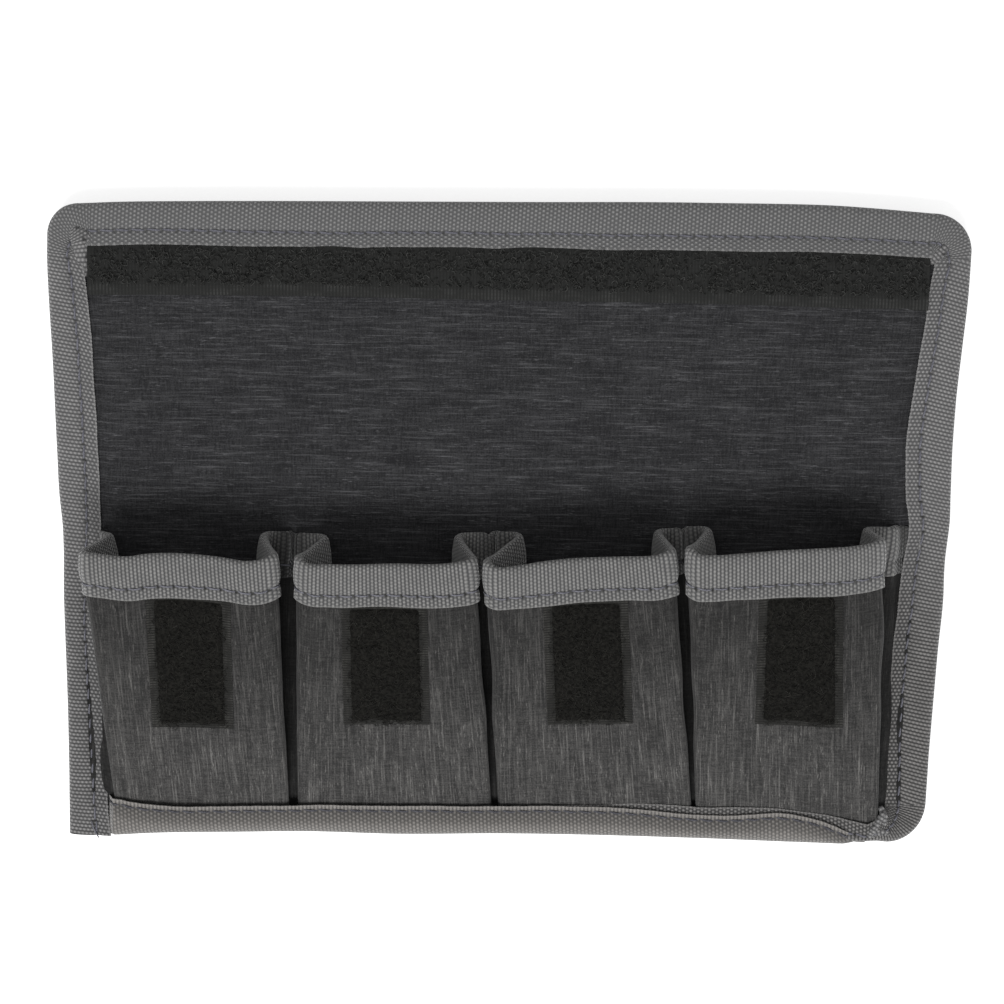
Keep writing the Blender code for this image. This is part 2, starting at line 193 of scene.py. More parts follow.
def build(name, points, faces, uv, look, smooth=True):
    """A mesh object from points, faces of any length and one map place a point."""
    mesh = bpy.data.meshes.new(name)
    mesh.from_pydata(np.asarray(points, float).reshape(-1, 3).tolist(), [], faces)
    layer = mesh.uv_layers.new(name="Cloth")
    corners = np.zeros(len(mesh.loops), int)
    mesh.loops.foreach_get("vertex_index", corners)
    places = np.asarray(uv, float).reshape(-1, 2)[corners] / MM
    layer.data.foreach_set("uv", places.ravel())
    mesh.materials.append(look)
    if smooth:
        mesh.shade_smooth()
        mesh.set_sharp_from_angle(angle=math.radians(50))
    return put(name, mesh)


def grid_faces(rows, columns, start=0, flip=False):
    index = start + np.arange(rows * columns).reshape(rows, columns)
    quads = stack(index[:-1, :-1], index[:-1, 1:], index[1:, 1:], index[1:, :-1]).reshape(-1, 4)
    return (quads[:, ::-1] if flip else quads).tolist()


def slab(name, top, bottom, uv, look, smooth=True):
    """A closed sheet from two point grids, one over the other."""
    rows, columns = top.shape[:2]
    count = rows * columns
    index = np.arange(count).reshape(rows, columns)
    ring = np.concatenate([index[0], index[1:, -1], index[-1, -2::-1], index[-2:0:-1, 0]])
    faces = grid_faces(rows, columns) + grid_faces(rows, columns, count, True)
    around = np.roll(ring, -1)
    faces += stack(ring, ring + count, around + count, around).tolist()
    points = np.concatenate([top.reshape(-1, 3), bottom.reshape(-1, 3)])
    both = np.concatenate([uv.reshape(-1, 2)] * 2)
    item = build(name, points, faces, both, look, smooth)
    face_out(item)
    return item


def second_look(item, look, where):
    """A second material on the faces of a slab, marked 1 in the order of its top faces."""
    item.data.materials.append(look)
    index = np.zeros(len(item.data.polygons), int)
    index[:2 * len(where)] = np.tile(where, 2)
    item.data.polygons.foreach_set("material_index", index)


def face_out(item):
    """Turns a closed mesh's faces outward."""
    bm = bmesh.new()
    bm.from_mesh(item.data)
    bmesh.ops.recalc_face_normals(bm, faces=bm.faces)
    bm.to_mesh(item.data)
    bm.free()


def unit(vectors):
    length = np.linalg.norm(vectors, axis=-1, keepdims=True)
    return vectors / np.maximum(length, 1e-12)


def normals_of(grid):
    """Normals of a point grid: across its columns, then down its rows."""
    across = np.gradient(grid, axis=1)
    down = np.gradient(grid, axis=0)
    return unit(np.cross(across, down))


def along(path):
    """Distance along a path of points."""
    return np.concatenate([[0], np.cumsum(np.linalg.norm(np.diff(path, axis=0), axis=1))])


def follow(at, places, path):
    """Points of a path, given its places, at other places."""
    return stack(*(np.interp(at, places, column) for column in path.T))


class Tubes:
    """Many small closed tubes gathered in one mesh, such as stitches or curls."""

    def __init__(self, sides=5):
        self.sides = sides
        self.points, self.faces, self.uv, self.count = [], [], [], 0

    def add(self, path, normals, radius):
        """One tube round a short path, with a tip at each end."""
        path = np.asarray(path, float)
        ahead = unit(np.gradient(path, axis=0))
        side = unit(np.cross(ahead, normals))
        up = np.cross(side, ahead)
        turns = np.arange(self.sides)[:, None] * 2 * math.pi / self.sides
        rings = path[:, None] + radius * (side[:, None] * np.cos(turns) + up[:, None] * np.sin(turns))
        body = np.concatenate([path[:1] - ahead[:1] * radius, rings.reshape(-1, 3),
                               path[-1:] + ahead[-1:] * radius])
        start, last = self.count, self.count + len(body) - 1
        for r in range(len(path)):
            for k in range(self.sides):
                a = start + 1 + r * self.sides + k
                b = start + 1 + r * self.sides + (k + 1) % self.sides
                if r == 0:
                    self.faces.append((start, a, b))
                if r == len(path) - 1:
                    self.faces.append((last, b, a))
                else:
                    self.faces.append((a, a + self.sides, b + self.sides, b))
        self.points.append(body)
        self.uv.append(body[:, :2])
        self.count += len(body)

    def stitches(self, path, normals, places):
        """A row of stitches along a path, one a pitch of its places, each dipping in at both ends."""
        share = np.linspace(-1, 1, STITCH_POINTS)[:, None]
        hump = np.cos(share * math.pi / 2)
        for k in range(int(places[-1] / STITCH_PITCH)):
            at = STITCH_PITCH * (k + 0.5 + STITCH_SHARE * share[:, 0] / 2)
            middle, up = follow(at, places, path), unit(follow(at, places, normals))
            drift = np.cross(unit(np.gradient(middle, axis=0)), up) * STITCH_DRIFT * share
            self.add(middle + up * (STITCH_HIGH * hump - STITCH_SUNK) + drift, up, THREAD_R)

    def make(self, name, look):
        item = build(name, np.concatenate(self.points), self.faces, np.concatenate(self.uv), look)
        face_out(item)
        return item


# Materials
class Look:
    """A Principled material whose colour and bump come from a small node graph."""

    def __init__(self, name, roughness, sheen=0.0, specular=0.3):
        self.material = bpy.data.materials.new(name)
        self.material.use_nodes = True
        self.tree = self.material.node_tree
        self.shader = self.tree.nodes["Principled BSDF"]
        self.fill(self.shader, {"Roughness": roughness, "Specular IOR Level": specular, "Sheen Weight": sheen,
                                "Sheen Roughness": 0.5})
        place = self.tree.nodes.new("ShaderNodeUVMap")
        place.uv_map = "Cloth"
        split = self.new("ShaderNodeSeparateXYZ", {0: place.outputs["UV"]})
        self.u, self.v = split.outputs[0], split.outputs[1]

    def fill(self, node, inputs):
        """Links or sets inputs of a node, by name or number."""
        for key, value in inputs.items():
            if isinstance(value, bpy.types.NodeSocket):
                self.tree.links.new(value, node.inputs[key])
            else:
                node.inputs[key].default_value = value

    def new(self, kind, inputs):
        node = self.tree.nodes.new(kind)
        self.fill(node, inputs)
        return node

    def math(self, operation, *values):
        node = self.new("ShaderNodeMath", dict(enumerate(values)))
        node.operation = operation
        return node.outputs[0]

    def times(self, first, *others):
        for other in others:
            first = self.math("MULTIPLY", first, other)
        return first

    def plus(self, first, *others):
        for other in others:
            first = self.math("ADD", first, other)
        return first

    def gap(self, first, second):
        """How far two values are apart."""
        return self.math("ABSOLUTE", self.math("SUBTRACT", first, second))

    def step(self, value, low, high, start=0.0, end=1.0):
        """start below low, end above high, and a smooth step between them."""
        node = self.new("ShaderNodeMapRange", dict(enumerate((value, low, high, start, end))))
        node.interpolation_type = "SMOOTHSTEP"
        return node.outputs[0]

    def noise(self, per_u, per_v, seed, detail=2.0, rough=0.5):
        """Noise with so many patches a millimetre along u and along v."""
        place = self.new("ShaderNodeCombineXYZ", {0: self.times(self.u, per_u), 1: self.times(self.v, per_v),
                                                  2: seed * SEED_GAP})
        node = self.new("ShaderNodeTexNoise", {"Vector": place.outputs[0], "Scale": 1, "Detail": detail,
                                               "Roughness": rough})
        return node.outputs["Fac"]

    def mix(self, share, first, second, blend="MIX"):
        """Two colours mixed, each a socket or red, green and blue."""
        node = self.tree.nodes.new("ShaderNodeMix")
        node.data_type = "RGBA"
        node.blend_type = blend
        colours = [c if isinstance(c, bpy.types.NodeSocket) else (*c, 1) for c in (first, second)]
        self.fill(node, {0: share, 6: colours[0], 7: colours[1]})
        return node.outputs[2]

    def shaded(self, colour, value):
        """A colour multiplied by one value."""
        grey = self.new("ShaderNodeCombineXYZ", {0: value, 1: value, 2: value})
        return self.mix(1, colour, grey.outputs[0], "MULTIPLY")

    def finish(self, colour, height=None, depth=0.1 * MM, crevice_shade=0.0):
        """Sets colour and bump. crevice_shade is how much darker the colour is painted deep in a crevice,
        from an ambient occlusion node: painted shade.
        """
        if crevice_shade:
            # Painted shade: the colour darkens where the ambient occlusion node finds the cloth closed in.
            node = self.new("ShaderNodeAmbientOcclusion", {"Distance": CREVICE_SHADE_REACH})
            node.samples = 6
            colour = self.shaded(colour, self.step(node.outputs["AO"], 0.05, 0.6, 1 - crevice_shade, 1.0))
        self.fill(self.shader, {"Base Color": colour})
        if height is not None:
            node = self.new("ShaderNodeBump", {"Strength": 1, "Distance": depth, "Height": height})
            self.fill(self.shader, {"Normal": node.outputs[0]})
        return self.material


# Widths of a rib and of its dashes, and the soft step at the stitches, in millimetres
RIB = 0.86
DOT = 0.93
STITCH_BLUR = 0.3
PITCH = STITCH_PITCH / MM
# Reach of the painted shade in crevices
CREVICE_SHADE_REACH = 13 * MM
SEED_GAP = 7.3


def tape_look(name, stitch_at, dark, light, broken, narrow=1.0, holes=0.4, crevice_shade=0.3, shades_along=(), shade_fade=None,
              shade_band=None):
    """Woven binding: ribs across the tape, each a row of dashes that are shifted by half in the next rib.

    broken is how far the dashes part, on the lip and past the stitches. shade_fade gives lit and shaded
    copies of the colours, painted light and shade, and where along the tape they come in. shades_along and
    shade_band are painted shade along the tape and across it.
    """
    look = Look(name, 0.75, sheen=0.4, specular=0.2)
    at_stitch = stitch_at - STITCH_BLUR, stitch_at + STITCH_BLUR
    loose = look.step(look.v, *at_stitch, *broken)
    # Painted light and shade: along the tape the colours fade to a lit or shaded copy.
    if shade_fade is not None:
        far_dark, far_light, far_broken, amount, steps = shade_fade
        for near, far, change in steps:
            amount = look.plus(amount, look.step(look.u, near, far, 0.0, change))
        dark, light = look.mix(amount, dark, far_dark), look.mix(amount, light, far_light)
        change = look.math("SUBTRACT", look.step(look.v, *at_stitch, *far_broken), loose)
        loose = look.plus(loose, look.times(amount, change))
    ribs = look.math("DIVIDE", look.u, RIB)
    odd = look.math("FLOORED_MODULO", look.math("FLOOR", ribs), 2.0)
    wave = look.math("POWER", look.math("ABSOLUTE", look.math("SINE", look.times(ribs, math.pi))), narrow)
    dots = look.plus(look.math("DIVIDE", look.v, DOT), look.times(odd, 0.5))
    between = look.plus(0.5, look.times(look.math("COSINE", look.times(dots, 2 * math.pi)), -0.5))
    height = look.times(wave, look.math("SUBTRACT", 1.0, look.times(loose, between)))
    worn = look.step(look.noise(0.35, 0.35, 3, 3.0), 0.3, 0.75, 0.8, 1.1)
    share = look.times(look.step(height, 0.1, 0.95), worn)
    cord = look.times(look.step(look.v, 0.25, 0.45, 0.8, 0.0), look.plus(0.4, look.times(wave, 0.6)))
    colour = look.mix(look.math("MAXIMUM", share, cord), dark, light)
    past = look.gap(look.math("FLOORED_MODULO", look.plus(look.u, PITCH / 2), PITCH), PITCH / 2)
    off = look.gap(look.v, stitch_at)
    away = look.math("SQRT", look.plus(look.times(past, past), look.times(off, off)))
    # Needle holes, and painted shade along the groove of the stitches.
    holes_and_groove_shade = look.times(look.step(away, 0.25, 0.75, holes, 1.0), look.step(off, 0.2, 0.75, 0.8, 1.0))
    # Painted shade along the tape: in the valleys between pockets and where it goes under another tape.
    for place, half, shade in shades_along:
        along_shade = look.step(look.gap(look.u, place), half * 0.5, half * 1.6, shade, 1.0)
        holes_and_groove_shade = look.times(holes_and_groove_shade, along_shade)
    # Painted shade: a darker band across the tape, with slightly lighter cloth either side of it as painted
    # light.
    if shade_band is not None:
        place, half, shade = shade_band
        band_shade = look.step(look.gap(look.v, place), half * 0.3, half * 1.7, shade, 1.06)
        holes_and_groove_shade = look.times(holes_and_groove_shade, band_shade)
    return look.finish(look.shaded(colour, holes_and_groove_shade), height, 0.3 * MM, crevice_shade)


def melange_look(name, dark, base, light, seed, shade_ramp=None, crevice_shade=0.0):
    """Fine cloth with light yarns that run along u in broken streaks."""
    look = Look(name, 0.85, sheen=0.1, specular=0.2)
    long = look.noise(0.11, 2.8, seed, 2.5, 0.6)
    short = look.noise(0.5, 3.6, seed + 1, 1.5, 0.55)
    warp = look.noise(2.6, 0.3, seed + 2, 1.0, 0.5)
    grain = look.noise(3.0, 3.0, seed + 3, 1.0, 0.5)
    broad = look.noise(0.15, 0.35, seed + 4, 2.0, 0.5)
    mottle = look.plus(look.times(long, 0.35), look.times(broad, 0.12), look.times(warp, 0.2),
                       look.times(grain, 0.25))
    body = look.mix(look.step(mottle, 0.35, 0.57), dark, base)
    lines = look.math("MAXIMUM", look.step(long, 0.55, 0.78, 0, 0.6), look.step(short, 0.57, 0.8, 0, 0.65))
    lines = look.times(lines, look.step(grain, 0.3, 0.6, 0.5, 1.0), look.step(broad, 0.35, 0.65, 0.7, 1.1))
    colour = look.mix(lines, body, light)
    if shade_ramp is not None:
        # Painted shade: the cloth darker near the rim and lighter towards the bottom seam, along u.
        colour = look.shaded(colour, look.step(look.u, *shade_ramp))
    return look.finish(colour, look.plus(look.times(warp, 0.8), long, lines), 0.035 * MM, crevice_shade)


def ribbed_look(name, dark, light, pitch, seed=5, until=None):
    """Ribs square to u, as on the selvage of touch tape or webbing, as far as a place along v."""
    look = Look(name, 0.75, sheen=0.1, specular=0.2)
    wave = look.math("ABSOLUTE", look.math("SINE", look.times(look.u, math.pi / pitch)))
    threads = look.math("ABSOLUTE", look.math("SINE", look.times(look.v, math.pi / 0.9)))
    height = look.times(wave, look.plus(0.7, look.times(threads, 0.3)))
    worn = look.step(look.noise(0.25, 0.5, seed), 0.4, 0.7, 0.15, 1.1)
    share = look.times(look.math("POWER", height, 2.0), worn)
    if until is not None:
        share = look.times(share, look.step(look.v, until - 0.3, until + 0.3, 1.0, 0.1))
    return look.finish(look.mix(share, dark, light), height, 0.12 * MM)


def plain_look(name, dark, light, roughness=0.7, sheen=0.2, per_mm=2.0, depth=0.05 * MM, specular=0.3,
               crevice_shade=0.0):
    """Mottled yarn or pile."""
    look = Look(name, roughness, sheen=sheen, specular=specular)
    grain = look.noise(per_mm, per_mm, 9, 3.0, 0.6)
    return look.finish(look.mix(look.step(grain, 0.3, 0.7), dark, light), grain, depth, crevice_shade)


# Lit and shaded copies of the same tape's colours: painted light and shade. The lower sides are darker, the
# tip flatter in tone.
TAPE_COLOURS = (0.1, 0.099, 0.101), (0.345, 0.34, 0.337), (0.75, 0.6)
TIP_SHADED_COLOURS = (0.12, 0.12, 0.122), (0.305, 0.303, 0.3), (1.0, 0.8)
LEFT_LOW_SHADED_COLOURS = (0.068, 0.067, 0.068), (0.31, 0.305, 0.302), (0.75, 0.6)
RIGHT_LOW_SHADED_COLOURS = (0.046, 0.045, 0.045), (0.27, 0.262, 0.255), (0.75, 0.45)
TAPE = tape_look("tape", STITCH_INSET / MM, *TAPE_COLOURS)
LEFT_TAPE = tape_look("tape_left", STITCH_INSET / MM, *TAPE_COLOURS,
                      shade_fade=(*LEFT_LOW_SHADED_COLOURS, 1, ((25, 95, -1),)))
RIGHT_TAPE = tape_look("tape_right", STITCH_INSET / MM, *TAPE_COLOURS,
                       shade_fade=(*RIGHT_LOW_SHADED_COLOURS, 0, ((5, 50, 1),)))
BOTTOM_STITCH = 1.25 * MM
# The bottom tape has a band of painted shade across it below the lip.
BOTTOM_TAPE = tape_look("bottom_tape", BOTTOM_STITCH / MM, (0.125, 0.119, 0.114), (0.305, 0.288, 0.27),
                        (0.4, 0.65), 0.85, 0.85, 0.6, shade_band=(2.6, 1.4, 0.78))
LINING = melange_look("lining", (0.0145, 0.0145, 0.016), (0.0435, 0.0435, 0.046), (0.15, 0.15, 0.158), 1)
# The pocket cloth is painted darker near the rims and in its crevices: painted shade.
POCKET = melange_look("pocket_cloth", (0.026, 0.0256, 0.0254), (0.077, 0.075, 0.073),
                      (0.245, 0.238, 0.228), 11, shade_ramp=(8, 66, 0.6, 1.15), crevice_shade=0.8)
# Painted shade: a darker copy of the pocket cloth for the gussets and flanges, which lie in shade.
POCKET_SHADED = melange_look("pocket_cloth_shaded", (0.0095, 0.0095, 0.0095), (0.025, 0.0245, 0.024),
                           (0.066, 0.065, 0.063), 11, crevice_shade=0.3)
SHELL = melange_look("outer_shell", (0.022, 0.022, 0.024), (0.055, 0.055, 0.058), (0.13, 0.13, 0.135), 21)
# The thread is painted darker in crevices: painted shade.
THREAD = plain_look("thread", (0.11, 0.11, 0.13), (0.215, 0.215, 0.25), 0.5, 0.1, 3.0, 0.02 * MM, crevice_shade=0.8)
THREAD_DARK = plain_look("thread_dark", (0.05, 0.05, 0.06), (0.12, 0.12, 0.14), 0.5, 0.1, 3.0, 0.02 * MM)
LOOP_SELVAGE = ribbed_look("loop_selvage", (0.012, 0.0118, 0.0105), (0.045, 0.044, 0.04), 0.64)
HOOK_BASE = ribbed_look("hook_tape", (0.018, 0.0184, 0.0175), (0.042, 0.0425, 0.041), 0.75, until=2.6)
HOOK_CURL = plain_look("hook_yarn", (0.03, 0.0305, 0.029), (0.084, 0.085, 0.081), 0.6, 0.0)
HOOK_DARK = plain_look("hook_yarn_dark", (0.01, 0.0105, 0.0095), (0.024, 0.0245, 0.023), 0.6, 0.0)
PILE = plain_look("loop_pile", (0.0055, 0.0054, 0.0048), (0.0175, 0.017, 0.015), 0.95, 0.0, 1.6, 0.2 * MM,
                  0.1)
PILE_DARK = plain_look("loop_yarn_dark", (0.008, 0.0078, 0.007), (0.022, 0.0212, 0.019), 0.7, 0.0)
PILE_CURL = plain_look("loop_yarn", (0.022, 0.021, 0.0185), (0.06, 0.058, 0.051), 0.6, 0.0)
FOAM = plain_look("foam", (0.28, 0.28, 0.27), (0.4, 0.4, 0.39), 0.9, 0.0, 3.0, 0.1 * MM)
WEBBING = ribbed_look("strap", (0.045, 0.045, 0.047), (0.2, 0.2, 0.2), 1.1, 7)


def carry(item):
    """Bakes the piece's place into its mesh; the piece is tied to neither body and does not turn across the
    fold.
    """
    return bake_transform(item)


# Linings and outer shell
PANEL_STEP = 1.5 * MM
LINING_INSET = 3.0 * MM
LOWER_INSET = 3.6 * MM
SLOPE_START = 9.8 * MM
SLOPE_END = 12.6 * MM


def spread(low, high, step):
    return np.linspace(low, high, max(2, int(round((high - low) / step)) + 1))


def lining_height(x, y):
    """On the foam in the middle, low along the bound edges, with a soft ripple."""
    raised = ease((inside(x, y) - SLOPE_START) / (SLOPE_END - SLOPE_START))
    flat = BORDER_Z + LINING_T + raised * (INNER_Z - BORDER_Z - LINING_T)
    calm = ease(abs(y - SPLIT_Y) / (12 * MM)) * 0.7 + 0.3
    return flat + raised * calm * 0.22 * MM * ripple(x, y, 46 * MM, 4) - 0.1 * MM * raised


def panel(name, low_y, high_y, height, thickness, look):
    xs = spread(-HALF_WIDTH + LINING_INSET, HALF_WIDTH - LINING_INSET, PANEL_STEP)
    x, y = np.meshgrid(xs, spread(low_y, high_y, PANEL_STEP))
    top = soft(stack(x, y, height(x, y)))
    return slab(name, top, top - [0, 0, thickness], stack(x, y), look)


def cloths(name, kind, height, thickness, look):
    """The lower and the upper cloth of one kind, laid flat on the foam, each across one fold."""
    lower = panel(f"{name}_lower", BOTTOM_Y + LOWER_INSET, SPLIT_Y, height, thickness, look)
    upper = panel(f"{name}_upper", SPLIT_Y, TIP_Y - LINING_INSET, height, thickness, look)
    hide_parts(f"back_{kind}", f"spine_{kind}")
    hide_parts(f"flap_{kind}")
    carry(lower)
    carry(upper)


def shell_height(x, y):
    sag = ease((inside(x, y) - SLOPE_START) / (8 * MM))
    return SHELL_TOP_Z - 0.15 * MM * sag * (1 + ripple(x, y, 60 * MM, 8))


def foams():
    for body in ("back", "spine", "flap"):
        low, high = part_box(f"{body}_foam")
        x, y = np.meshgrid(spread(low.x, high.x, 6 * MM), spread(low.y + 0.4 * MM, high.y - 0.4 * MM, 4 * MM))
        round_off = 0.25 * MM * (1 - ease(inside(x, y, low, high) / (2 * MM)))
        top, bottom = soft(stack(x, y, high.z - round_off)), soft(stack(x, y, low.z + round_off))
        pad = slab(f"foam_{body}", top, bottom, stack(x, y), FOAM)
        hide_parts(f"{body}_foam")
        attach(pad, body)


# Binding tape
PUFF = 0.3 * MM
STITCH_DIP = 0.4 * MM
STATION_STEP = 0.9 * MM
EDGE_STEPS = 6
BODY_STEPS = 32
# Least flat part of the tape on the back
LEAST_UNDER = 3.0 * MM


def puffed(from_edge, stitch, face):
    """How much the tape puffs up between its stitches and its folded edge, from 0 to 1."""
    return np.sin(np.clip((from_edge - stitch) / (face - stitch), 0, 1) * math.pi)


class Station:
    """A place on the pouch's edge: outer and inner point of the tape's upper face, its heights, how its
    ribs lean, and the least and most of its flat part on the back."""

    def __init__(self, outer, inner, top_z=TAPE_TOP_Z, low_z=TAPE_LOW_Z, lift=0.0, slants=(0.0, 0.06),
                 under=(LEAST_UNDER, TAPE_WIDTH)):
        self.outer, self.inner = np.array(outer, float), np.array(inner, float)
        self.top_z, self.low_z, self.lift = top_z, low_z, lift
        self.slants, self.under = slants, under


def tape(name, stations, seed, look, threads, stitch=STITCH_INSET, waves=0.16 * MM):
    """Tape folded round the edge through its stations, with waves and puckers, and its stitches."""
    distance = along(np.array([s.outer for s in stations]))
    pair = 2 * RIB * MM
    distance *= pair * round(distance[-1] / pair) / distance[-1]
    outer, inner, places = [], [], []
    for s, u in zip(stations, distance):
        fold, middle = (s.top_z - s.low_z) / 2, (s.top_z + s.low_z) / 2
        inset_edge = np.linalg.norm(s.inner - s.outer)
        way = (s.inner - s.outer) / inset_edge
        face = max(inset_edge, fold + 0.1 * MM)
        flat, round_edge = face - fold, face - fold + math.pi * fold
        first = flat + fold * math.asin(1 - inset_edge / fold) if inset_edge < face else 0.0
        last = round_edge + max(s.under[0], min(s.under[1], TAPE_WIDTH - round_edge))
        reach = np.concatenate([np.linspace(first, first + stitch, EDGE_STEPS),
                                np.linspace(first + stitch, last - stitch, BODY_STEPS)[1:-1],
                                np.linspace(last - stitch, last, EDGE_STEPS)])
        turn = np.clip((reach - flat) / fold, 0, math.pi)
        out_inset, out_up = -np.sin(turn), np.cos(turn)
        inset = fold + fold * out_inset + np.maximum(flat - reach, 0) + np.maximum(reach - round_edge, 0)
        height = middle + fold * out_up
        from_edge = np.minimum(reach - first, last - reach)
        dip = bell(from_edge - stitch, 0.7 * MM)
        pucker = 0.5 + 0.5 * math.cos(2 * math.pi * u / STITCH_PITCH)
        relief = PUFF * puffed(from_edge, stitch, face) - STITCH_DIP * dip * (0.75 + 0.25 * pucker)
        calm = waves * float(ease(abs(s.outer[1] - SPLIT_Y) / (6 * MM)))
        wave = calm * ripple(u, seed * 1.0, 15 * MM, seed) + 0.06 * MM * pucker
        rise = calm * ripple(u, 0.0, 21 * MM, seed + 1) + s.lift
        share = np.clip((inset - fold) / max(face - fold, MM), 0, 1)
        for rows, depth in ((outer, 0.0), (inner, TAPE_T)):
            at = inset + share * wave + out_inset * (relief - depth)
            up = height + out_up * (relief - depth) + rise * np.clip(out_up, 0, 1) * share
            rows.append(np.column_stack([s.outer + at[:, None] * way, up]))
        past = from_edge - stitch
        leaning = s.slants[0] * np.minimum(past, 0) + s.slants[1] * np.maximum(past, 0)
        places.append(stack(u - leaning, from_edge))
    outer, inner, places = np.array(outer), np.array(inner), np.array(places)
    item = slab(name, outer, inner, places, look)
    for column in (EDGE_STEPS - 1, outer.shape[1] - EDGE_STEPS):
        way_out = unit(outer[:, column] - inner[:, column])
        threads.stitches(outer[:, column], way_out, places[:, column, 0])
    return item


def side_slants(side, y):
    """How much the ribs lean at a place on a side, inside the stitches and outside them."""
    more = 0.85 + 0.35 * float(ripple(y, 0.0, 55 * MM, 38 + side))
    if side > 0:
        return 0.0, 0.27 * more
    up = float(ease((y + 45 * MM) / (70 * MM)))
    return (0.1 + 0.2 * up) * more, (0.06 + 0.14 * up) * more


def side_stations(side, low, high):
    stations = []
    for y in spread(low, high, STATION_STEP):
        sway, face = (left_sway, left_face) if side < 0 else (right_sway, right_face)
        edge = side * (HALF_WIDTH + sway(y))
        over_rim = 0.55 * MM * bell(y + 7 * MM, 6 * MM)
        over_seam = 1.2 * MM * float(ease((-63 * MM - y) / (5 * MM))) if side < 0 else 0.0
        stations.append(Station((edge, y), (edge - side * face(y), y), lift=over_rim + over_seam,
                                slants=side_slants(side, y)))
    return stations


CORNER_STEPS = 20


def corner_outline(start, side_x, end_y, radius, stop):
    """Points from start on one edge, round the corner of two edges, to stop on the other."""
    way = np.sign([side_x - stop[0], end_y - start[1]])
    turn = np.linspace(0, math.pi / 2, CORNER_STEPS)
    arc = np.array([side_x, end_y]) - way * radius * (1 - stack(np.cos(turn), np.sin(turn)))
    legs = []
    for a, b in ((start, arc[0]), (arc[-1], stop)):
        a, b = np.array(a), np.array(b)
        count = max(2, int(np.linalg.norm(b - a) / STATION_STEP) + 1)
        legs.append(a + (b - a) * np.linspace(0, 1, count)[:, None])
    return np.concatenate([legs[0][1:-1], arc, legs[1][1:-1]])


def corner_stations(outline, center, radius, lift=0.0, slants=(0.1, 0.1), **heights):
    """Stations along a corner's outline, with their inner points on a small arc round its centre."""
    stations = []
    for point, share in zip(outline, ease(np.linspace(0, 1, len(outline)))):
        inner = center + radius * unit(point - center)
        stations.append(Station(point, inner, slants=slants, lift=lift * share, **heights))
    return stations


# Sway, face, inner and outer radius of the corners at the tip, by side
TOP_CORNERS = {-1: (left_sway, left_face, 2.4 * MM, 7.2 * MM),
               1: (right_sway, right_face, 0.9 * MM, 8.6 * MM)}
TIP_NEAR_Y = 60 * MM
TIP_LIFT = 0.9 * MM


def top_corner(side):
    """Stations of a top corner, from the side to the tip, and the centre of its inner arc."""
    sway, face, inner_r, outer_r = TOP_CORNERS[side]
    side_x = side * (HALF_WIDTH + sway(TIP_NEAR_Y))
    center_x = side_x - side * (face(TIP_NEAR_Y) + inner_r)
    at_tip = TIP_Y + top_sway(side * 92 * MM) - top_face(side * 92 * MM)
    center = np.array([center_x, at_tip - inner_r])
    start = (side * (HALF_WIDTH + sway(center[1])), center[1])
    stop = (center_x, TIP_Y + top_sway(center_x))
    corner_x = side * (HALF_WIDTH + sway(66 * MM))
    outline = corner_outline(start, corner_x, TIP_Y + top_sway(side * 95 * MM), outer_r, stop)
    return corner_stations(outline, center, inner_r, TIP_LIFT), center


def upper_tape(threads):
    """One tape up the left of the flap, along its tip and down the right, fanned round both corners."""
    left, left_center = top_corner(-1)
    right, right_center = top_corner(1)
    stations = side_stations(-1, SPLIT_Y, left_center[1]) + left
    for x in spread(left_center[0], right_center[0], STATION_STEP):
        outer_y = TIP_Y + top_sway(x)
        stations.append(Station((x, outer_y), (x, outer_y - top_face(x)), lift=TIP_LIFT))
    stations += right[::-1] + side_stations(1, SPLIT_Y, right_center[1])[::-1]
    reach = along(np.array([s.outer for s in stations]))[-1] / MM
    first = (left_center[1] - SPLIT_Y) / MM
    last = reach - (right_center[1] - SPLIT_Y) / MM
    shade_fade = (*TIP_SHADED_COLOURS, 0, ((first - 8, first + 12, 1), (last - 12, last + 8, -1)))
    look = tape_look("tape_upper", STITCH_INSET / MM, *TAPE_COLOURS, holes=0.6, shade_fade=shade_fade)
    item = tape("binding_upper", stations, 41, look, threads)
    carry(item)
    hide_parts("flap_edge_tape", "spine_edge_tape_left", "spine_edge_tape_right")


# The loose end of thread at the bottom left
THREAD_END = ((-94.4, -70.5, 9.6), (-94.0, -71.8, 10.0), (-93.5, -73.2, 9.6), (-92.9, -74.5, 8.8))


def left_lower_tape(threads):
    item = tape("binding_left", side_stations(-1, BOTTOM_Y - 0.2 * MM, SPLIT_Y), 31, LEFT_TAPE, threads)
    threads.add(np.array(THREAD_END) * MM, [(0, 0, 1)], THREAD_R * 0.7)
    carry(item)
    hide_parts("back_edge_tape_left", "spine_edge_tape_left")


# The line of the bottom tape's lip, and of the tape behind it that comes round the corner
LIP = ((-97, -64.5), (-91, -64.3), (-87.4, -64.6), (-84.4, -65.25), (-80, -65.75), (-77, -65.85),
       (-46, -65.3), (0, -64.9), (14, -64.7), (32.4, -65.1), (39.3, -65.8), (46.2, -66.2), (52, -66.35),
       (59, -65.9), (65.8, -65.55), (70.4, -66.2), (75.1, -67.55), (79.8, -69.6), (82.8, -71.1),
       (85.2, -71.5))
BEHIND_LIP = ((12, -64.9), (25, -64.3), (32.3, -63.95), (46.2, -64.5), (60, -64.4), (69.2, -65.2),
              (78.5, -66.55), (85.5, -68.2))
CORNER_R = 9.0 * MM
LOW_INNER_R = 2.6 * MM


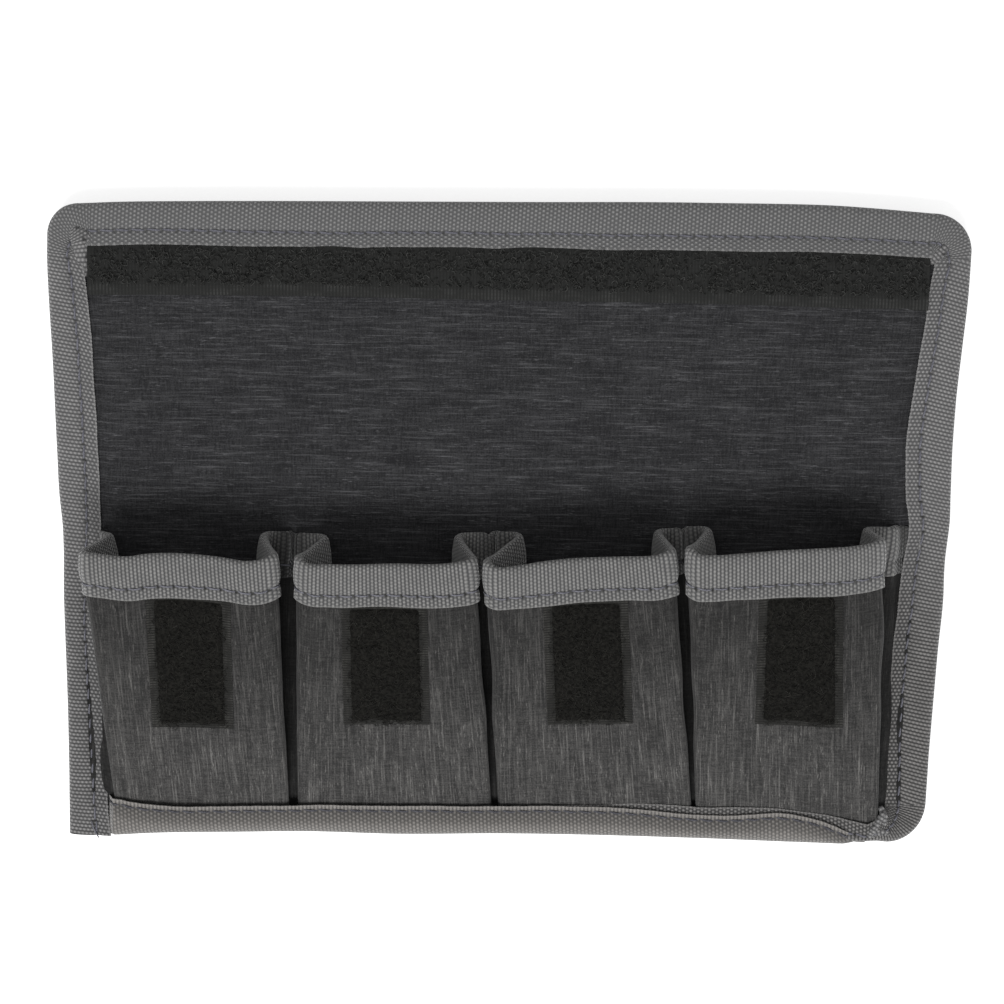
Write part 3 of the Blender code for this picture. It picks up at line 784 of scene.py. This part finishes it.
def right_lower_tape(threads):
    """Down the right side, round the corner and behind the bottom tape's lip."""
    behind = table(BEHIND_LIP)
    side_x = HALF_WIDTH + right_sway(-65 * MM)
    low_y = BOTTOM_Y + bottom_sway(90 * MM) + 0.4 * MM
    center = np.array([side_x - right_face(-64 * MM) - LOW_INNER_R, -64.5 * MM])
    stations = side_stations(1, center[1], SPLIT_Y)[::-1]
    outline = corner_outline((side_x, center[1]), side_x, low_y, CORNER_R, (center[0], low_y + 0.3 * MM))
    for point, share in zip(outline, ease(np.linspace(0.0, 1, len(outline)))):
        heights = {"top_z": TAPE_TOP_Z + share * (SEAM_TOP_Z - 0.7 * MM - TAPE_TOP_Z), "low_z": TAPE_LOW_Z,
                   "under": (LEAST_UNDER, 9 * MM - 6 * MM * share)}
        stations += corner_stations([point], center, LOW_INNER_R, 0.0, (0.05, 0.2), **heights)
    for x in spread(12 * MM, 85 * MM, STATION_STEP)[::-1]:
        low = BOTTOM_Y + bottom_sway(x) + 0.7 * MM
        stations.append(Station((x, low), (x, behind(x)), SEAM_TOP_Z - 0.7 * MM, TAPE_LOW_Z + 0.6 * MM,
                                under=(LEAST_UNDER, LEAST_UNDER)))
    item = tape("binding_right", stations, 37, RIGHT_TAPE, threads)
    carry(item)
    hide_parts("back_edge_tape_right", "spine_edge_tape_right")


def bottom_tape(threads):
    lip = table(LIP)
    stations = []
    for x in spread(-94.5 * MM, 85 * MM, STATION_STEP):
        open_up = ease((x + 91.2 * MM) / (2.4 * MM)) * (1 - ease((x - 79 * MM) / (7 * MM)))
        top = TAPE_TOP_Z - 1.2 * MM + open_up * (SEAM_TOP_Z - TAPE_TOP_Z + 1.2 * MM)
        under = TAPE_LOW_Z + 0.6 * MM * (1 - open_up)
        low = BOTTOM_Y + bottom_sway(x) - 0.05 * MM + 0.5 * MM * ease((x - 79 * MM) / (6 * MM))
        low = min(low, lip(x) - 2.2 * MM)
        stations.append(Station((x, low), (x, lip(x)), float(top), float(under),
                                under=(5 * MM, 5 * MM)))
    item = tape("binding_bottom", stations, 53, BOTTOM_TAPE, threads, BOTTOM_STITCH, 0.1 * MM)
    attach(item, "back")
    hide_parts("back_edge_tape_right")


def dome(name, path, halves, lift, base_z, squareness=4):
    """A rounded fold of tape that lies on the binding: a path, half widths and a height along it."""
    path = np.array(path, float) * MM
    q, fine = np.linspace(0, 1, len(path)), np.linspace(0, 1, 26)
    center = follow(fine, q, path)
    for _ in range(3):
        center[1:-1] = (center[:-2] + 2 * center[1:-1] + center[2:]) / 4
    ahead = unit(np.gradient(center, axis=0))
    half = np.interp(fine, q, np.array(halves) * MM)[:, None]
    high = np.interp(fine, q, np.array(lift) * MM)[:, None]
    across = np.linspace(-1, 1, 13)
    crown = (1 - abs(across) ** squareness) ** 0.5
    plan = center[:, None] + stack(-ahead[:, 1], ahead[:, 0])[:, None] * (half * across)[..., None]
    top = stack(plan[..., 0], plan[..., 1], base_z + high * crown)
    bottom = stack(plan[..., 0], plan[..., 1], base_z - 0.5 * MM)
    length = np.linalg.norm(np.diff(center, axis=0), axis=1).sum()
    return slab(name, top, bottom, stack(fine[:, None] * length, 4 * MM + half * across), TAPE)


# Body, name, path, half widths, heights, base and squareness of each fold of spare tape
PLEATS = (
    ("flap", "pleat_left",
     ((-94.9, 55.5), (-94.9, 58.5), (-95.0, 61.5), (-95.4, 63.8), (-96.3, 65.4), (-97.3, 66.5)),
     (0.9, 1.7, 2.2, 2.5, 2.1, 0.9), (0.0, 0.2, 0.7, 1.15, 1.15, 0.7), TAPE_TOP_Z - 0.1 * MM, 6),
    ("flap", "pleat_right", ((94.6, 61.4), (96.0, 62.7), (97.3, 64.1), (98.5, 65.7)),
     (0.7, 1.2, 1.1, 0.4), (0.75, 0.85, 0.7, 0.1), TAPE_TOP_Z),
    ("back", "pleat_low_1", ((88.7, -65.2), (87.4, -67.4), (86.2, -69.6), (85.2, -71.4)),
     (0.5, 0.8, 0.8, 0.4), (0.5, 0.8, 0.8, 0.3), SEAM_TOP_Z - 1.0 * MM),
    ("back", "pleat_low_2", ((85.8, -71.4), (87.0, -70.2), (88.6, -69.9), (90.0, -70.7), (91.0, -71.6)),
     (0.4, 0.8, 0.9, 0.7, 0.3), (0.2, 0.7, 0.8, 0.6, 0.1), SEAM_TOP_Z - 1.4 * MM),
    ("back", "pleat_low_3", ((87.9, -64.0), (88.8, -66.0), (88.6, -68.0), (87.9, -69.6)),
     (0.5, 0.9, 0.9, 0.4), (0.2, 0.7, 0.7, 0.3), SEAM_TOP_Z - 1.6 * MM),
)


def pleats():
    """Folds of spare tape at three corners."""
    for body, *form in PLEATS:
        item = dome(*form)
        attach(item, body)


# Pocket strip
POCKETS = (
    {"edges": (-93.0, -50.4), "feet": (-89.0, -54.2), "low": (-88.4, -48.9), "feet_y": (-2.9, -2.2),
     "rim": ((-93.0, -4.1), (-89.6, -4.6), (-82.1, -5.1), (-78.8, -4.5), (-74.4, -4.2), (-66.7, -4.5),
             (-61.2, -5.2), (-56.8, -5.9), (-53.6, -5.6), (-50.4, -4.4)), "sink": ((-93, 0.0), (-49, 0.0)),
     "patch": ((-77.6, -77.3), (-61.9, -62.2), 42.9)},
    {"edges": (-45.4, -6.6), "feet": (-40.4, -10.2), "low": (-46.3, -2.1), "feet_y": (-2.6, -1.9),
     "rim": ((-45.4, -4.9), (-43.5, -5.9), (-38.1, -6.1), (-25, -5.8), (-12, -5.7), (-6.6, -4.7)),
     "sink": ((-46, 0.0), (-6, 0.0)), "patch": ((-34.1, -33.9), (-18.4, -17.7), 40.8)},
    {"edges": (-3.5, 37.1), "feet": (3.6, 34.8), "low": (0.1, 44.2), "feet_y": (-1.5, -0.3),
     "rim": ((-3.5, -5.4), (-1.6, -6.2), (2.6, -5.9), (8.3, -4.9), (14.2, -4.2), (27.4, -3.5), (34, -3.0),
             (37.1, -1.9)), "sink": ((-4, 0.0), (38, 0.0)), "patch": ((10.5, 12.2), (26.0, 28.2), 40.7)},
    {"edges": (41.2, 83.8), "feet": (46.2, 82.0), "low": (45.7, 87.2), "feet_y": (0.4, 0.8),
     "rim": ((41.2, -1.6), (43.2, -2.8), (45.7, -3.0), (52.5, -2.5), (61.5, -1.5), (70.4, -0.9), (77, -0.6),
             (81, -0.1), (83.8, 0.7)), "sink": ((41, 0.0), (72, 0.0), (83.5, 2.4)),
     "patch": ((58.3, 59.1), (73.5, 75.8), 40.9)},
)
STRIP_LENGTH = 66 * MM
STRIP_BOTTOM_Y = -66.8 * MM
STRIP_END_X = 95.3 * MM
RIM_FRONT_Z = RIM_Z - 1.4 * MM
LOW_FRONT_Z = 10.1 * MM
FOOT_Z = INNER_Z + 0.42 * MM
EDGE_BEND = (2.2 * MM, 0.42 * MM)
FOOT_BEND = (1.7 * MM, 0.38 * MM)
LOW_LEAN = 11 * MM
FLANGE_LIFT = 1.3 * MM
# Where the strip is sewn down between pockets: place, depth of the nick, half width of the dark seam line and
# the painted shade of the valley round it
SEAMS = ((-47.9, 2.6, 1.5, 0.2), (-1.8, 1.9, 0.5, 0.6), (41.0, 1.4, 0.4, 0.5))
FLANGE_STEPS, BEND_STEPS, GUSSET_STEPS, FRONT_STEPS = 12, 8, 7, 15
CLOTH_HALF = 0.35 * MM
# The row of the strip's grid along which its length is measured
MEASURED_ROW = 8
# Where the strip's ends dip under the side tapes, and their height there
TUCK_LEFT_X, TUCK_RIGHT_X, TUCK_Z = -89.8 * MM, 87.6 * MM, 7.95 * MM


def bend(center, radius, turn):
    return stack(center[0] + radius * np.cos(turn), center[1] + radius * np.sin(turn))


def half_section(half, depth, lean, edge_bend, foot_bend):
    """Half a pocket's section from its middle to its foot: places across and heights over the foot."""
    edge_x, edge_h = half - edge_bend, depth - edge_bend
    foot_x, foot_h = half - lean + foot_bend, foot_bend
    span = math.hypot(foot_x - edge_x, foot_h - edge_h)
    crossing = math.asin(min(1, (edge_bend + foot_bend) / span))
    sweep = -(math.atan2(foot_h - edge_h, foot_x - edge_x) - crossing)
    front = stack(np.linspace(0, edge_x, FRONT_STEPS), depth)
    edge = bend((edge_x, edge_h), edge_bend, math.pi / 2 - sweep * np.linspace(0, 1, BEND_STEPS)[1:])
    foot = bend((foot_x, foot_h), foot_bend, 1.5 * math.pi - sweep * np.linspace(1, 0, BEND_STEPS))
    gusset = edge[-1] + (foot[0] - edge[-1]) * np.linspace(0, 1, GUSSET_STEPS)[1:-1, None]
    return np.concatenate([front, edge, gusset, foot])


# How far the front has come down, from the rim to the bottom seam, both in thousandths
FRONT_FALL = table(((0, 0), (200, 170), (400, 350), (600, 555), (800, 780), (920, 925), (965, 975),
                    (1000, 1000)))


def strip_row(down):
    """The strip's middle line at a distance below the rim, and which columns are each pocket's front."""
    share = down / STRIP_LENGTH
    row, fronts = [], []
    last_foot = -STRIP_END_X
    for k, pocket in enumerate(POCKETS):
        left, right = ((1 - share) * np.array(pocket["edges"]) + share * np.array(pocket["low"])) * MM
        low_feet = np.array(pocket["low"]) * MM + np.array([LOW_LEAN, -LOW_LEAN])
        foot_left, foot_right = (1 - share) * np.array(pocket["feet"]) * MM + share * low_feet
        rim_y, sink = table(pocket["rim"]), table(pocket["sink"])
        middle, half = (left + right) / 2, (right - left) / 2
        at_rim = 1 - float(ease((down - 9 * MM) / (6 * MM)))
        over = (0.75 * MM + FLANGE_LIFT) * at_rim
        foot_z = FOOT_Z + over - 1.25 * MM * float(ease((down - 56 * MM) / (9 * MM)))
        front_z = RIM_FRONT_Z - float(FRONT_FALL(share)) * (RIM_FRONT_Z - LOW_FRONT_Z)
        depth = front_z - foot_z
        bends = [b[0] + (b[1] - b[0]) * float(share) for b in (EDGE_BEND, FOOT_BEND)]
        sides = [half_section(half, depth, lean, *bends) for lean in (foot_left - left, right - foot_right)]
        section = np.concatenate([sides[0][::-1] * [-1, 1], sides[1][1:]])
        x = middle + section[:, 0]
        raised = np.clip(section[:, 1] / depth, 0, 1)
        bottom_y = STRIP_BOTTOM_Y - 1.9 * MM * ease((x - 55 * MM) / (25 * MM))
        front_y = rim_y(np.clip(x, left, right)) * (1 - share) + share * bottom_y
        feet_y = np.interp(x, [foot_left, foot_right], np.array(pocket["feet_y"]) * MM)
        back_y = feet_y * (1 - share) + share * bottom_y
        crown = 1 - np.clip(section[:, 0] / half, -1, 1) ** 2
        crown = 0.45 * MM * crown * math.sin(math.pi * min(share + 0.15, 1))
        sinking = sink(np.clip(x, left, right)) * (1 - share) ** 2
        z = foot_z + section[:, 1] + raised**4 * crown - raised * sinking
        points = stack(x, back_y + (front_y - back_y) * raised, z)
        flange = np.linspace(last_foot, points[0, 0], FLANGE_STEPS + 1)[:-1]
        start_y = points[0, 1] if not row else row[-1][-1, 1]
        flange_y = np.linspace(start_y, points[0, 1], FLANGE_STEPS + 1)[:-1]
        if row:
            flange, flange_y = flange[1:], flange_y[1:]
        row.append(stack(flange, flange_y, foot_z))
        begin = sum(len(part) for part in row)
        row.append(points)
        fronts.append((begin + len(sides[0]) - FRONT_STEPS, begin + len(sides[0]) + FRONT_STEPS - 1))
        last_foot = points[-1, 0]
    flange = np.linspace(last_foot, STRIP_END_X, FLANGE_STEPS + 1)[1:]
    row.append(stack(flange, row[-1][-1, 1], foot_z))
    line = np.concatenate(row)
    low_part = ease((foot_z + 4 * MM - line[:, 2]) / (2 * MM))
    for x, deep, _, _ in SEAMS:
        line[:, 2] -= deep * MM * at_rim * low_part * bell(line[:, 0] - x * MM, 1.1 * MM)
    under_tape = np.where(line[:, 0] > 0, line[:, 0] - TUCK_RIGHT_X, TUCK_LEFT_X - line[:, 0])
    line[:, 2] -= ease(under_tape / (2.2 * MM)) * low_part * (foot_z - TUCK_Z)
    return line, fronts


def swayed(grid, normals, share=1.0):
    """A grid of the strip moved by its soft waves, and its outward normals."""
    sway = 0.3 * MM * ripple(grid[..., 0], grid[..., 1] * 1.4, 24 * MM, 61)
    return grid + normals * (sway * share)[..., None], normals


def strip_grid(downs):
    """Points and outward normals of the strip's middle surface, a row for each distance below the rim."""
    grid = np.array([strip_row(down)[0] for down in downs])
    normals = normals_of(grid)
    normals *= np.sign(normals[0, :, 2].mean())
    return swayed(grid, normals, ease((grid[..., 2] - 12 * MM) / (8 * MM)))


def pocket_strip():
    downs = np.concatenate([np.linspace(0, 12 * MM, 9), np.linspace(13.5 * MM, STRIP_LENGTH, 34)])
    grid, normals = strip_grid(downs)
    distance = along(grid[MEASURED_ROW])
    half = normals * CLOTH_HALF
    item = slab("pocket_strip", grid + half, grid - half, stack(downs[:, None], distance), POCKET)
    # Columns outside the fronts get the darker copy of the cloth: painted shade.
    deep = np.ones(grid.shape[1] - 1, int)
    for first, last in strip_row(0.0)[1]:
        deep[first - BEND_STEPS // 2:last + BEND_STEPS // 2] = 0
    second_look(item, POCKET_SHADED, np.tile(deep, grid.shape[0] - 1))
    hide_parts("pocket_1", "pocket_2", "pocket_3", "pocket_4")
    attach(item, "back")


RIM_FACE = 9.7 * MM
RIM_STITCH = 2.9 * MM
RIM_OFFSET = 0.98 * MM
RIM_T = 0.5 * MM
RIM_PUFF = 0.25 * MM
RIM_DIP = 0.34 * MM
SEAM_HALF = 0.7 * MM
# Below this height the strip is in a valley between pockets
VALLEY_Z = 13 * MM
# Length of the rim tape under the right side's tape, in millimetres
RIM_TUCK = 5.0


def rim_tape():
    """Tape folded over the rim of the strip, through all its pleats, with its rows of stitches."""
    downs = np.concatenate([np.linspace(0, RIM_FACE - RIM_STITCH, 12)[:-1],
                            np.linspace(RIM_FACE - RIM_STITCH, RIM_FACE, EDGE_STEPS)])
    grid, normals = strip_grid(downs)
    line = grid[0]
    low = line[:, 2] < VALLEY_Z
    distance = along(grid[MEASURED_ROW])
    pinch = 1 - 0.6 * ease((abs(line[:, 0]) - 90.0 * MM) / (2.5 * MM)) * low
    for before, after in zip(POCKETS[:-1], POCKETS[1:]):
        seam = (before["feet"][1] + after["feet"][0]) / 2 * MM
        pinch -= 0.65 * bell(line[:, 0] - seam, SEAM_HALF) * low
    up = unit(grid[0] - grid[2])
    wave = 0.3 * MM * ripple(distance, 0, 17 * MM, 71) * (line[:, 2] > 20 * MM)
    pucker = 0.75 + 0.25 * np.cos(2 * math.pi * distance / STITCH_PITCH)
    outer, inner, places = [], [], []

    def layer(points, way, from_edge, relief=0.0):
        outer.append(points + way * (RIM_OFFSET * pinch + relief)[:, None])
        inner.append(points + way * ((RIM_OFFSET - RIM_T) * pinch + relief)[:, None])
        places.append(stack(distance, from_edge))

    def face(k, way, shift):
        from_edge = RIM_FACE - downs[k]
        dip = bell(from_edge - RIM_STITCH, 0.6 * MM)
        puff = puffed(from_edge, RIM_STITCH, RIM_FACE)
        relief = (RIM_PUFF * puff - RIM_DIP * dip * pucker) * pinch
        moved = grid[k] - up * (shift * (1 - from_edge / RIM_FACE))[:, None]
        layer(moved, way * normals[k], from_edge, relief)

    for k in range(len(downs))[::-1]:
        face(k, 1, wave)
    for turn in np.linspace(0, math.pi, 9)[1:-1]:
        way = normals[0] * math.cos(turn) + up * math.sin(turn)
        layer(line, way, RIM_FACE + min(turn, math.pi - turn) * RIM_OFFSET)
    for k in range(len(downs)):
        face(k, -1, 0 * wave)
    outer, inner, places = np.array(outer), np.array(inner), np.array(places)
    # Painted shade where the rim tape goes under the right tape, and at each seam between pockets a narrow
    # dark line with wider painted shade round it.
    shades_along = [(float(distance[-1] / MM) - RIM_TUCK, 2.0, 0.3)]
    for x, _, half_width, shade in SEAMS:
        column = int(np.argmin(abs(line[:, 0] - x * MM) + ~low))
        place = float(distance[column] / MM)
        shades_along += [(place, half_width, 0.25), (place, 5.0, shade)]
    look = tape_look("rim_tape", RIM_STITCH / MM, (0.078, 0.078, 0.08), (0.3, 0.296, 0.288), (0.6, 0.5), 1.0,
                     0.3, 0.5, shades_along)
    # The inner faces of the rim tape get a copy of its colours with darker gaps and brighter ribs: painted
    # shade and highlight.
    inside_shaded_look = tape_look("rim_tape_inside_shaded", RIM_STITCH / MM, (0.035, 0.035, 0.036), (0.36, 0.356, 0.348),
                            (0.6, 0.6), 1.2, 0.6, 0.3)
    item = slab("rim_tape", outer, inner, places, look)
    inside = np.zeros((len(outer) - 1, outer.shape[1] - 1), int)
    inside[len(downs) + 4:] = 1
    second_look(item, inside_shaded_look, inside.ravel())
    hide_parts("pocket_rim_tape")
    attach(item, "back")
    threads = Tubes()
    fronts = strip_row(0.0)[1]
    seen = slice(fronts[0][0] - BEND_STEPS, fronts[-1][1] + BEND_STEPS)
    places = distance[seen] - STITCH_PITCH * math.ceil(distance[seen][0] / STITCH_PITCH)
    for row in (EDGE_STEPS - 1, len(outer) - EDGE_STEPS):
        threads.stitches(outer[row, seen], unit(outer[row] - inner[row])[seen], places)
    item = threads.make("rim_stitches", THREAD)
    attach(item, "back")


# Touch tape
CURL_STEPS = 6


def curl(tubes, place, up, size, height, turn, lean, radius):
    """One loose loop of yarn that rises from a surface and comes back to it."""
    up = up / np.linalg.norm(up)
    side = unit(np.cross(up, [0.3, 1.0, 0.2]))
    way = side * math.cos(turn) + np.cross(up, side) * math.sin(turn)
    across = np.cross(up, way)
    t = np.linspace(0, 1, CURL_STEPS)[:, None]
    arch = np.sin(math.pi * t)
    path = place + way * size * (t - 0.5) + up * height * arch ** 0.8 + across * lean * arch
    tubes.add(path, across[None], radius)


def front_points(k, spans, downs):
    """Places on a pocket's front, a row with its own x places for each distance below the rim."""
    rows = []
    for xs, down in zip(spans, downs):
        line, fronts = strip_row(down)
        part = line[fronts[k][0]:fronts[k][1]]
        rows.append(stack(xs, *(np.interp(xs, part[:, 0], part[:, i]) for i in (1, 2))))
    grid = np.array(rows)
    normals = normals_of(grid)
    return swayed(grid, normals * np.sign(normals[..., 2].mean()))


PATCH_TOP = 8.6 * MM
SELVAGE_W = 1.6 * MM
PATCH_BASE = 0.45 * MM
PILE_T = 1.15 * MM
PILE_KINDS = (("loop_curls", 170, (1.2, 4.4), 1.8, 0.04), ("loop_curls_dark", 620, (0.8, 2.4), 1.0, 0.06))


def patch_edges(pocket, downs):
    """A patch's left and right edge at distances below the rim, one distance a row."""
    lefts, rights, low = pocket["patch"]
    share = (downs[:, None] - PATCH_TOP) / (low * MM - PATCH_TOP)
    return [(top + (end - top) * share) * MM for top, end in (lefts, rights)]


def loop_patches():
    rng = np.random.default_rng(101)
    for k, pocket in enumerate(POCKETS):
        low = pocket["patch"][2] * MM
        downs = np.linspace(PATCH_TOP, low + 0.2 * MM, 44)
        left, right = patch_edges(pocket, downs)
        spans = left - SELVAGE_W + (right - left + 2 * SELVAGE_W) * np.linspace(0, 1, 30)
        grid, normals = front_points(k, spans, downs)
        base = grid + normals * CLOTH_HALF
        item = slab(f"loop_base_{k + 1}", base + normals * PATCH_BASE, base - normals * 0.1 * MM,
                    stack(downs[:, None], spans), LOOP_SELVAGE)
        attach(item, "back")
        downs = np.linspace(PATCH_TOP, low, 76)
        left, right = patch_edges(pocket, downs)
        down = downs[:, None]
        ragged = 0.25 * MM * ripple(0, down, 2.3 * MM, 95 + k)
        xs = left + ragged + (right - left - ragged) * np.linspace(0, 1, 40)
        grid, normals = front_points(k, xs, downs)
        low_edge = low - 0.6 * MM + 0.35 * MM * ripple(xs, 0, 2.6 * MM, 99 + k)
        edge = np.minimum.reduce([xs - left, right - xs, low_edge - down])
        fall = ease(edge / (1.1 * MM)) * ease((down - 9.9 * MM) / (1.2 * MM))
        fuzz = 0.13 * MM * rng.standard_normal(edge.shape)
        tuft = 0.14 * MM * ripple(grid[..., 0], grid[..., 1], 3.4 * MM, 81 + k)
        height = CLOTH_HALF + 0.3 * MM + (PILE_T - 0.3 * MM + fuzz + tuft) * fall
        top = grid + normals * height[..., None]
        item = slab(f"loop_pile_{k + 1}", top, grid + normals * 0.3 * MM, stack(xs, down), PILE)
        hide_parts(f"loop_patch_{k + 1}")
        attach(item, "back")
        for (kind, number, sizes, bend, radius), look in zip(PILE_KINDS, (PILE_CURL, PILE_DARK)):
            tubes = Tubes(3)
            for _ in range(number):
                i, j = rng.integers(6, len(downs)), rng.integers(0, xs.shape[1])
                size, high = rng.uniform(*sizes) * MM, rng.uniform(0.15, 0.5) * MM
                curl(tubes, top[i, j] - normals[i, j] * 0.1 * MM, normals[i, j], size, high,
                     rng.uniform(0, 2 * math.pi), rng.uniform(-bend, bend) * MM, radius * MM)
            item = tubes.make(f"{kind}_{k + 1}", look)
            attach(item, "back")


HOOK_KINDS = (("hook_curls", 2000, 301, (0.7, 1.8), (0.6, 1.1), 0.9, 0.07),
              ("hook_curls_dark", 900, 302, (0.5, 1.2), (0.4, 0.9), 0.5, 0.06))


def tip_lip(x):
    """The line of the tape's inner edge along the tip."""
    return TIP_Y + top_sway(x) - top_face(x)


def hook_strip():
    base_z = INNER_Z - 0.05 * MM
    edge_low = table(((-95, 51.6), (-46, 52.0), (-5.5, 51.7), (47, 51.5), (88, 50.8), (95, 50.7)))
    xs = spread(-94 * MM, 94.5 * MM, 1.5 * MM)
    x, t = np.meshgrid(xs, np.linspace(0, 1, 12))
    start, top_edge = edge_low(x), tip_lip(x) + 1.2 * MM
    y = start + t * (top_edge - start)
    z = base_z + 0.55 * MM + 0.1 * MM * ripple(x, y, 30 * MM, 91)
    z -= 0.45 * MM * (1 - ease((y - start) / (0.5 * MM)))
    z -= 0.9 * MM * ease((y - top_edge + 2.5 * MM) / (2.5 * MM))
    top = stack(x, y, z)
    item = slab("hook_base", top, top - [0, 0, 0.5 * MM], stack(x, y - start), HOOK_BASE)
    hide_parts("hook_strip")
    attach(item, "flap")
    for (name, number, seed, sizes, heights, bend, radius), look in zip(HOOK_KINDS, (HOOK_CURL, HOOK_DARK)):
        rng = np.random.default_rng(seed)
        tubes = Tubes(3)
        for _ in range(number):
            place_x = rng.uniform(-93, 94) * MM
            first = edge_low(place_x) + 2.6 * MM
            last = tip_lip(place_x) - 0.6 * MM
            place = np.array([place_x, rng.uniform(first, last), base_z + 0.5 * MM])
            up = unit(np.array([rng.uniform(-0.4, 0.4), rng.uniform(-0.4, 0.4), 1.0]))
            curl(tubes, place, up, rng.uniform(*sizes) * MM, rng.uniform(*heights) * MM,
                 rng.uniform(0, 2 * math.pi), rng.uniform(-bend, bend) * MM, radius * MM)
        item = tubes.make(name, look)
        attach(item, "flap")


# Belt loop
def belt_loop():
    """A strap of webbing, both ends turned under, with a box of stitches at each end."""
    low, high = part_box("belt_loop")
    thick, tab = 1.2 * MM, 10 * MM
    radius, middle = (high.z - low.z - thick) / 2, (low.z + high.z) / 2
    turn = np.linspace(-math.pi / 2, math.pi / 2, 13)
    far = bend((high.y - radius - thick / 2, middle), radius, turn)
    near = bend((low.y + radius + thick / 2, middle), -radius, turn)
    run = stack(np.linspace(near[-1, 0], far[0, 0], 24)[1:-1], near[-1, 1])
    under = np.array([[tab, 0], [tab * 0.5, 0]])
    path = np.concatenate([near[0] + under, near, run, far, far[-1] - under[::-1]])
    ahead = unit(np.gradient(path, axis=0))
    out = stack(ahead[:, 1], -ahead[:, 0])
    xs = np.linspace(low.x, high.x, 25)
    soft_edge = 0.25 * MM * (1 - ease(np.minimum(xs - low.x, high.x - xs) / (1.2 * MM)))

    def side(sign):
        plan = path[:, None] + out[:, None] * (sign * (thick / 2 - soft_edge))[:, None]
        return stack(xs, plan[..., 0], plan[..., 1])

    item = slab("belt_strap", side(1), side(-1), stack(along(path)[:, None], xs), WEBBING)
    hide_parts("belt_loop")
    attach(item, "back")
    threads = Tubes()
    left, right, z = low.x + 3 * MM, high.x - 3 * MM, high.z - thick
    for end, way in ((high.y - radius, -1), (low.y + radius, 1)):
        start, stop = end + way * tab * 0.25, end + way * tab * 0.9
        corners = [(left, start), (right, start), (right, stop), (left, stop), (left, start)]
        for a, b in zip(corners[:-1], corners[1:]):
            line = np.linspace([*a, z], [*b, z], 30)
            threads.stitches(line, np.broadcast_to([0.0, 0.0, -1.0], line.shape), along(line))
    item = threads.make("belt_stitches", THREAD)
    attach(item, "back")


def make_all():
    cloths("lining", "lining", lining_height, LINING_T, LINING)
    cloths("shell", "outer_shell", shell_height, SHELL_TOP_Z - SHELL_LOW_Z - 0.1 * MM, SHELL)
    foams()
    lower, upper, bottom = Tubes(), Tubes(), Tubes()
    left_lower_tape(lower)
    right_lower_tape(lower)
    bottom_tape(bottom)
    upper_tape(upper)
    pleats()
    carry(lower.make("stitches_lower", THREAD))
    carry(upper.make("stitches_upper", THREAD))
    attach(bottom.make("stitches_bottom", THREAD_DARK), "back")
    pocket_strip()
    rim_tape()
    loop_patches()
    hook_strip()
    belt_loop()


# Camera, light and floor
CAMERA_DISTANCE = 620 * MM
CAMERA_TILT = math.radians(9.5)
CAMERA_ROLL = math.radians(0.825)
CAMERA_TARGET = Vector((-0.459, 5.810, 9.3)) * MM
CAMERA_LENS = 97.93
FLOOR_GLOW = 0.7
FLOOR_HALF = 3.0
WORLD_STRENGTH = 0.42


def camera():
    data = bpy.data.cameras.new("camera")
    data.lens = CAMERA_LENS
    data.sensor_width = 36
    data.clip_start, data.clip_end = 0.01, 20
    item = put("camera", data)
    back = Vector((0, math.sin(CAMERA_TILT), math.cos(CAMERA_TILT)))
    level_up = Vector((0, math.cos(CAMERA_TILT), -math.sin(CAMERA_TILT)))
    right = math.cos(CAMERA_ROLL) * Vector((1, 0, 0)) + math.sin(CAMERA_ROLL) * level_up
    up = back.cross(right)
    turn = Matrix((right, up, back)).transposed().to_4x4()
    item.matrix_world = Matrix.Translation(CAMERA_TARGET + back * CAMERA_DISTANCE) @ turn
    bpy.context.scene.camera = item


def lamp(name, place, size, power):
    data = bpy.data.lights.new(name, "AREA")
    data.shape = "RECTANGLE"
    data.size, data.size_y = size
    data.energy = power
    item = put(name, data)
    item.location = place
    item.rotation_euler = (-Vector(place)).to_track_quat("-Z", "Y").to_euler()


def floor():
    """A wide white floor with some glow in the picture itself, which keeps the object's shadow."""
    mesh = bpy.data.meshes.new("floor")
    corners = [(-FLOOR_HALF, -FLOOR_HALF, 0), (FLOOR_HALF, -FLOOR_HALF, 0), (FLOOR_HALF, FLOOR_HALF, 0),
               (-FLOOR_HALF, FLOOR_HALF, 0)]
    mesh.from_pydata(corners, [], [(0, 1, 2, 3)])
    item = put("floor", mesh)
    item.location.z = CAD_LOW.z - 0.05 * MM
    look = Look("floor", 0.9, specular=0)
    rays = look.tree.nodes.new("ShaderNodeLightPath").outputs
    seen = look.math("MAXIMUM", rays["Is Camera Ray"], rays["Is Glossy Ray"])
    seen = look.math("MAXIMUM", seen, rays["Is Transmission Ray"])
    look.fill(look.shader, {"Emission Color": (1, 1, 1, 1),
                            "Emission Strength": look.times(seen, FLOOR_GLOW)})
    mesh.materials.append(look.finish((0.8, 0.8, 0.8, 1)))


def lights():
    lamp("key", (-0.17, -0.63, 1.25), (0.7, 0.45), 13)
    world = bpy.data.worlds.new("studio")
    world.use_nodes = True
    tree = world.node_tree
    strength = tree.nodes.new("ShaderNodeMath")
    strength.operation = "MAXIMUM"
    strength.inputs[1].default_value = WORLD_STRENGTH
    tree.links.new(tree.nodes.new("ShaderNodeLightPath").outputs["Is Camera Ray"], strength.inputs[0])
    back = tree.nodes["Background"]
    back.inputs["Color"].default_value = (1, 1, 1, 1)
    tree.links.new(strength.outputs[0], back.inputs["Strength"])
    bpy.context.scene.world = world
    bpy.context.scene.view_settings.view_transform = "Standard"


camera()
lights()
floor()
make_all()
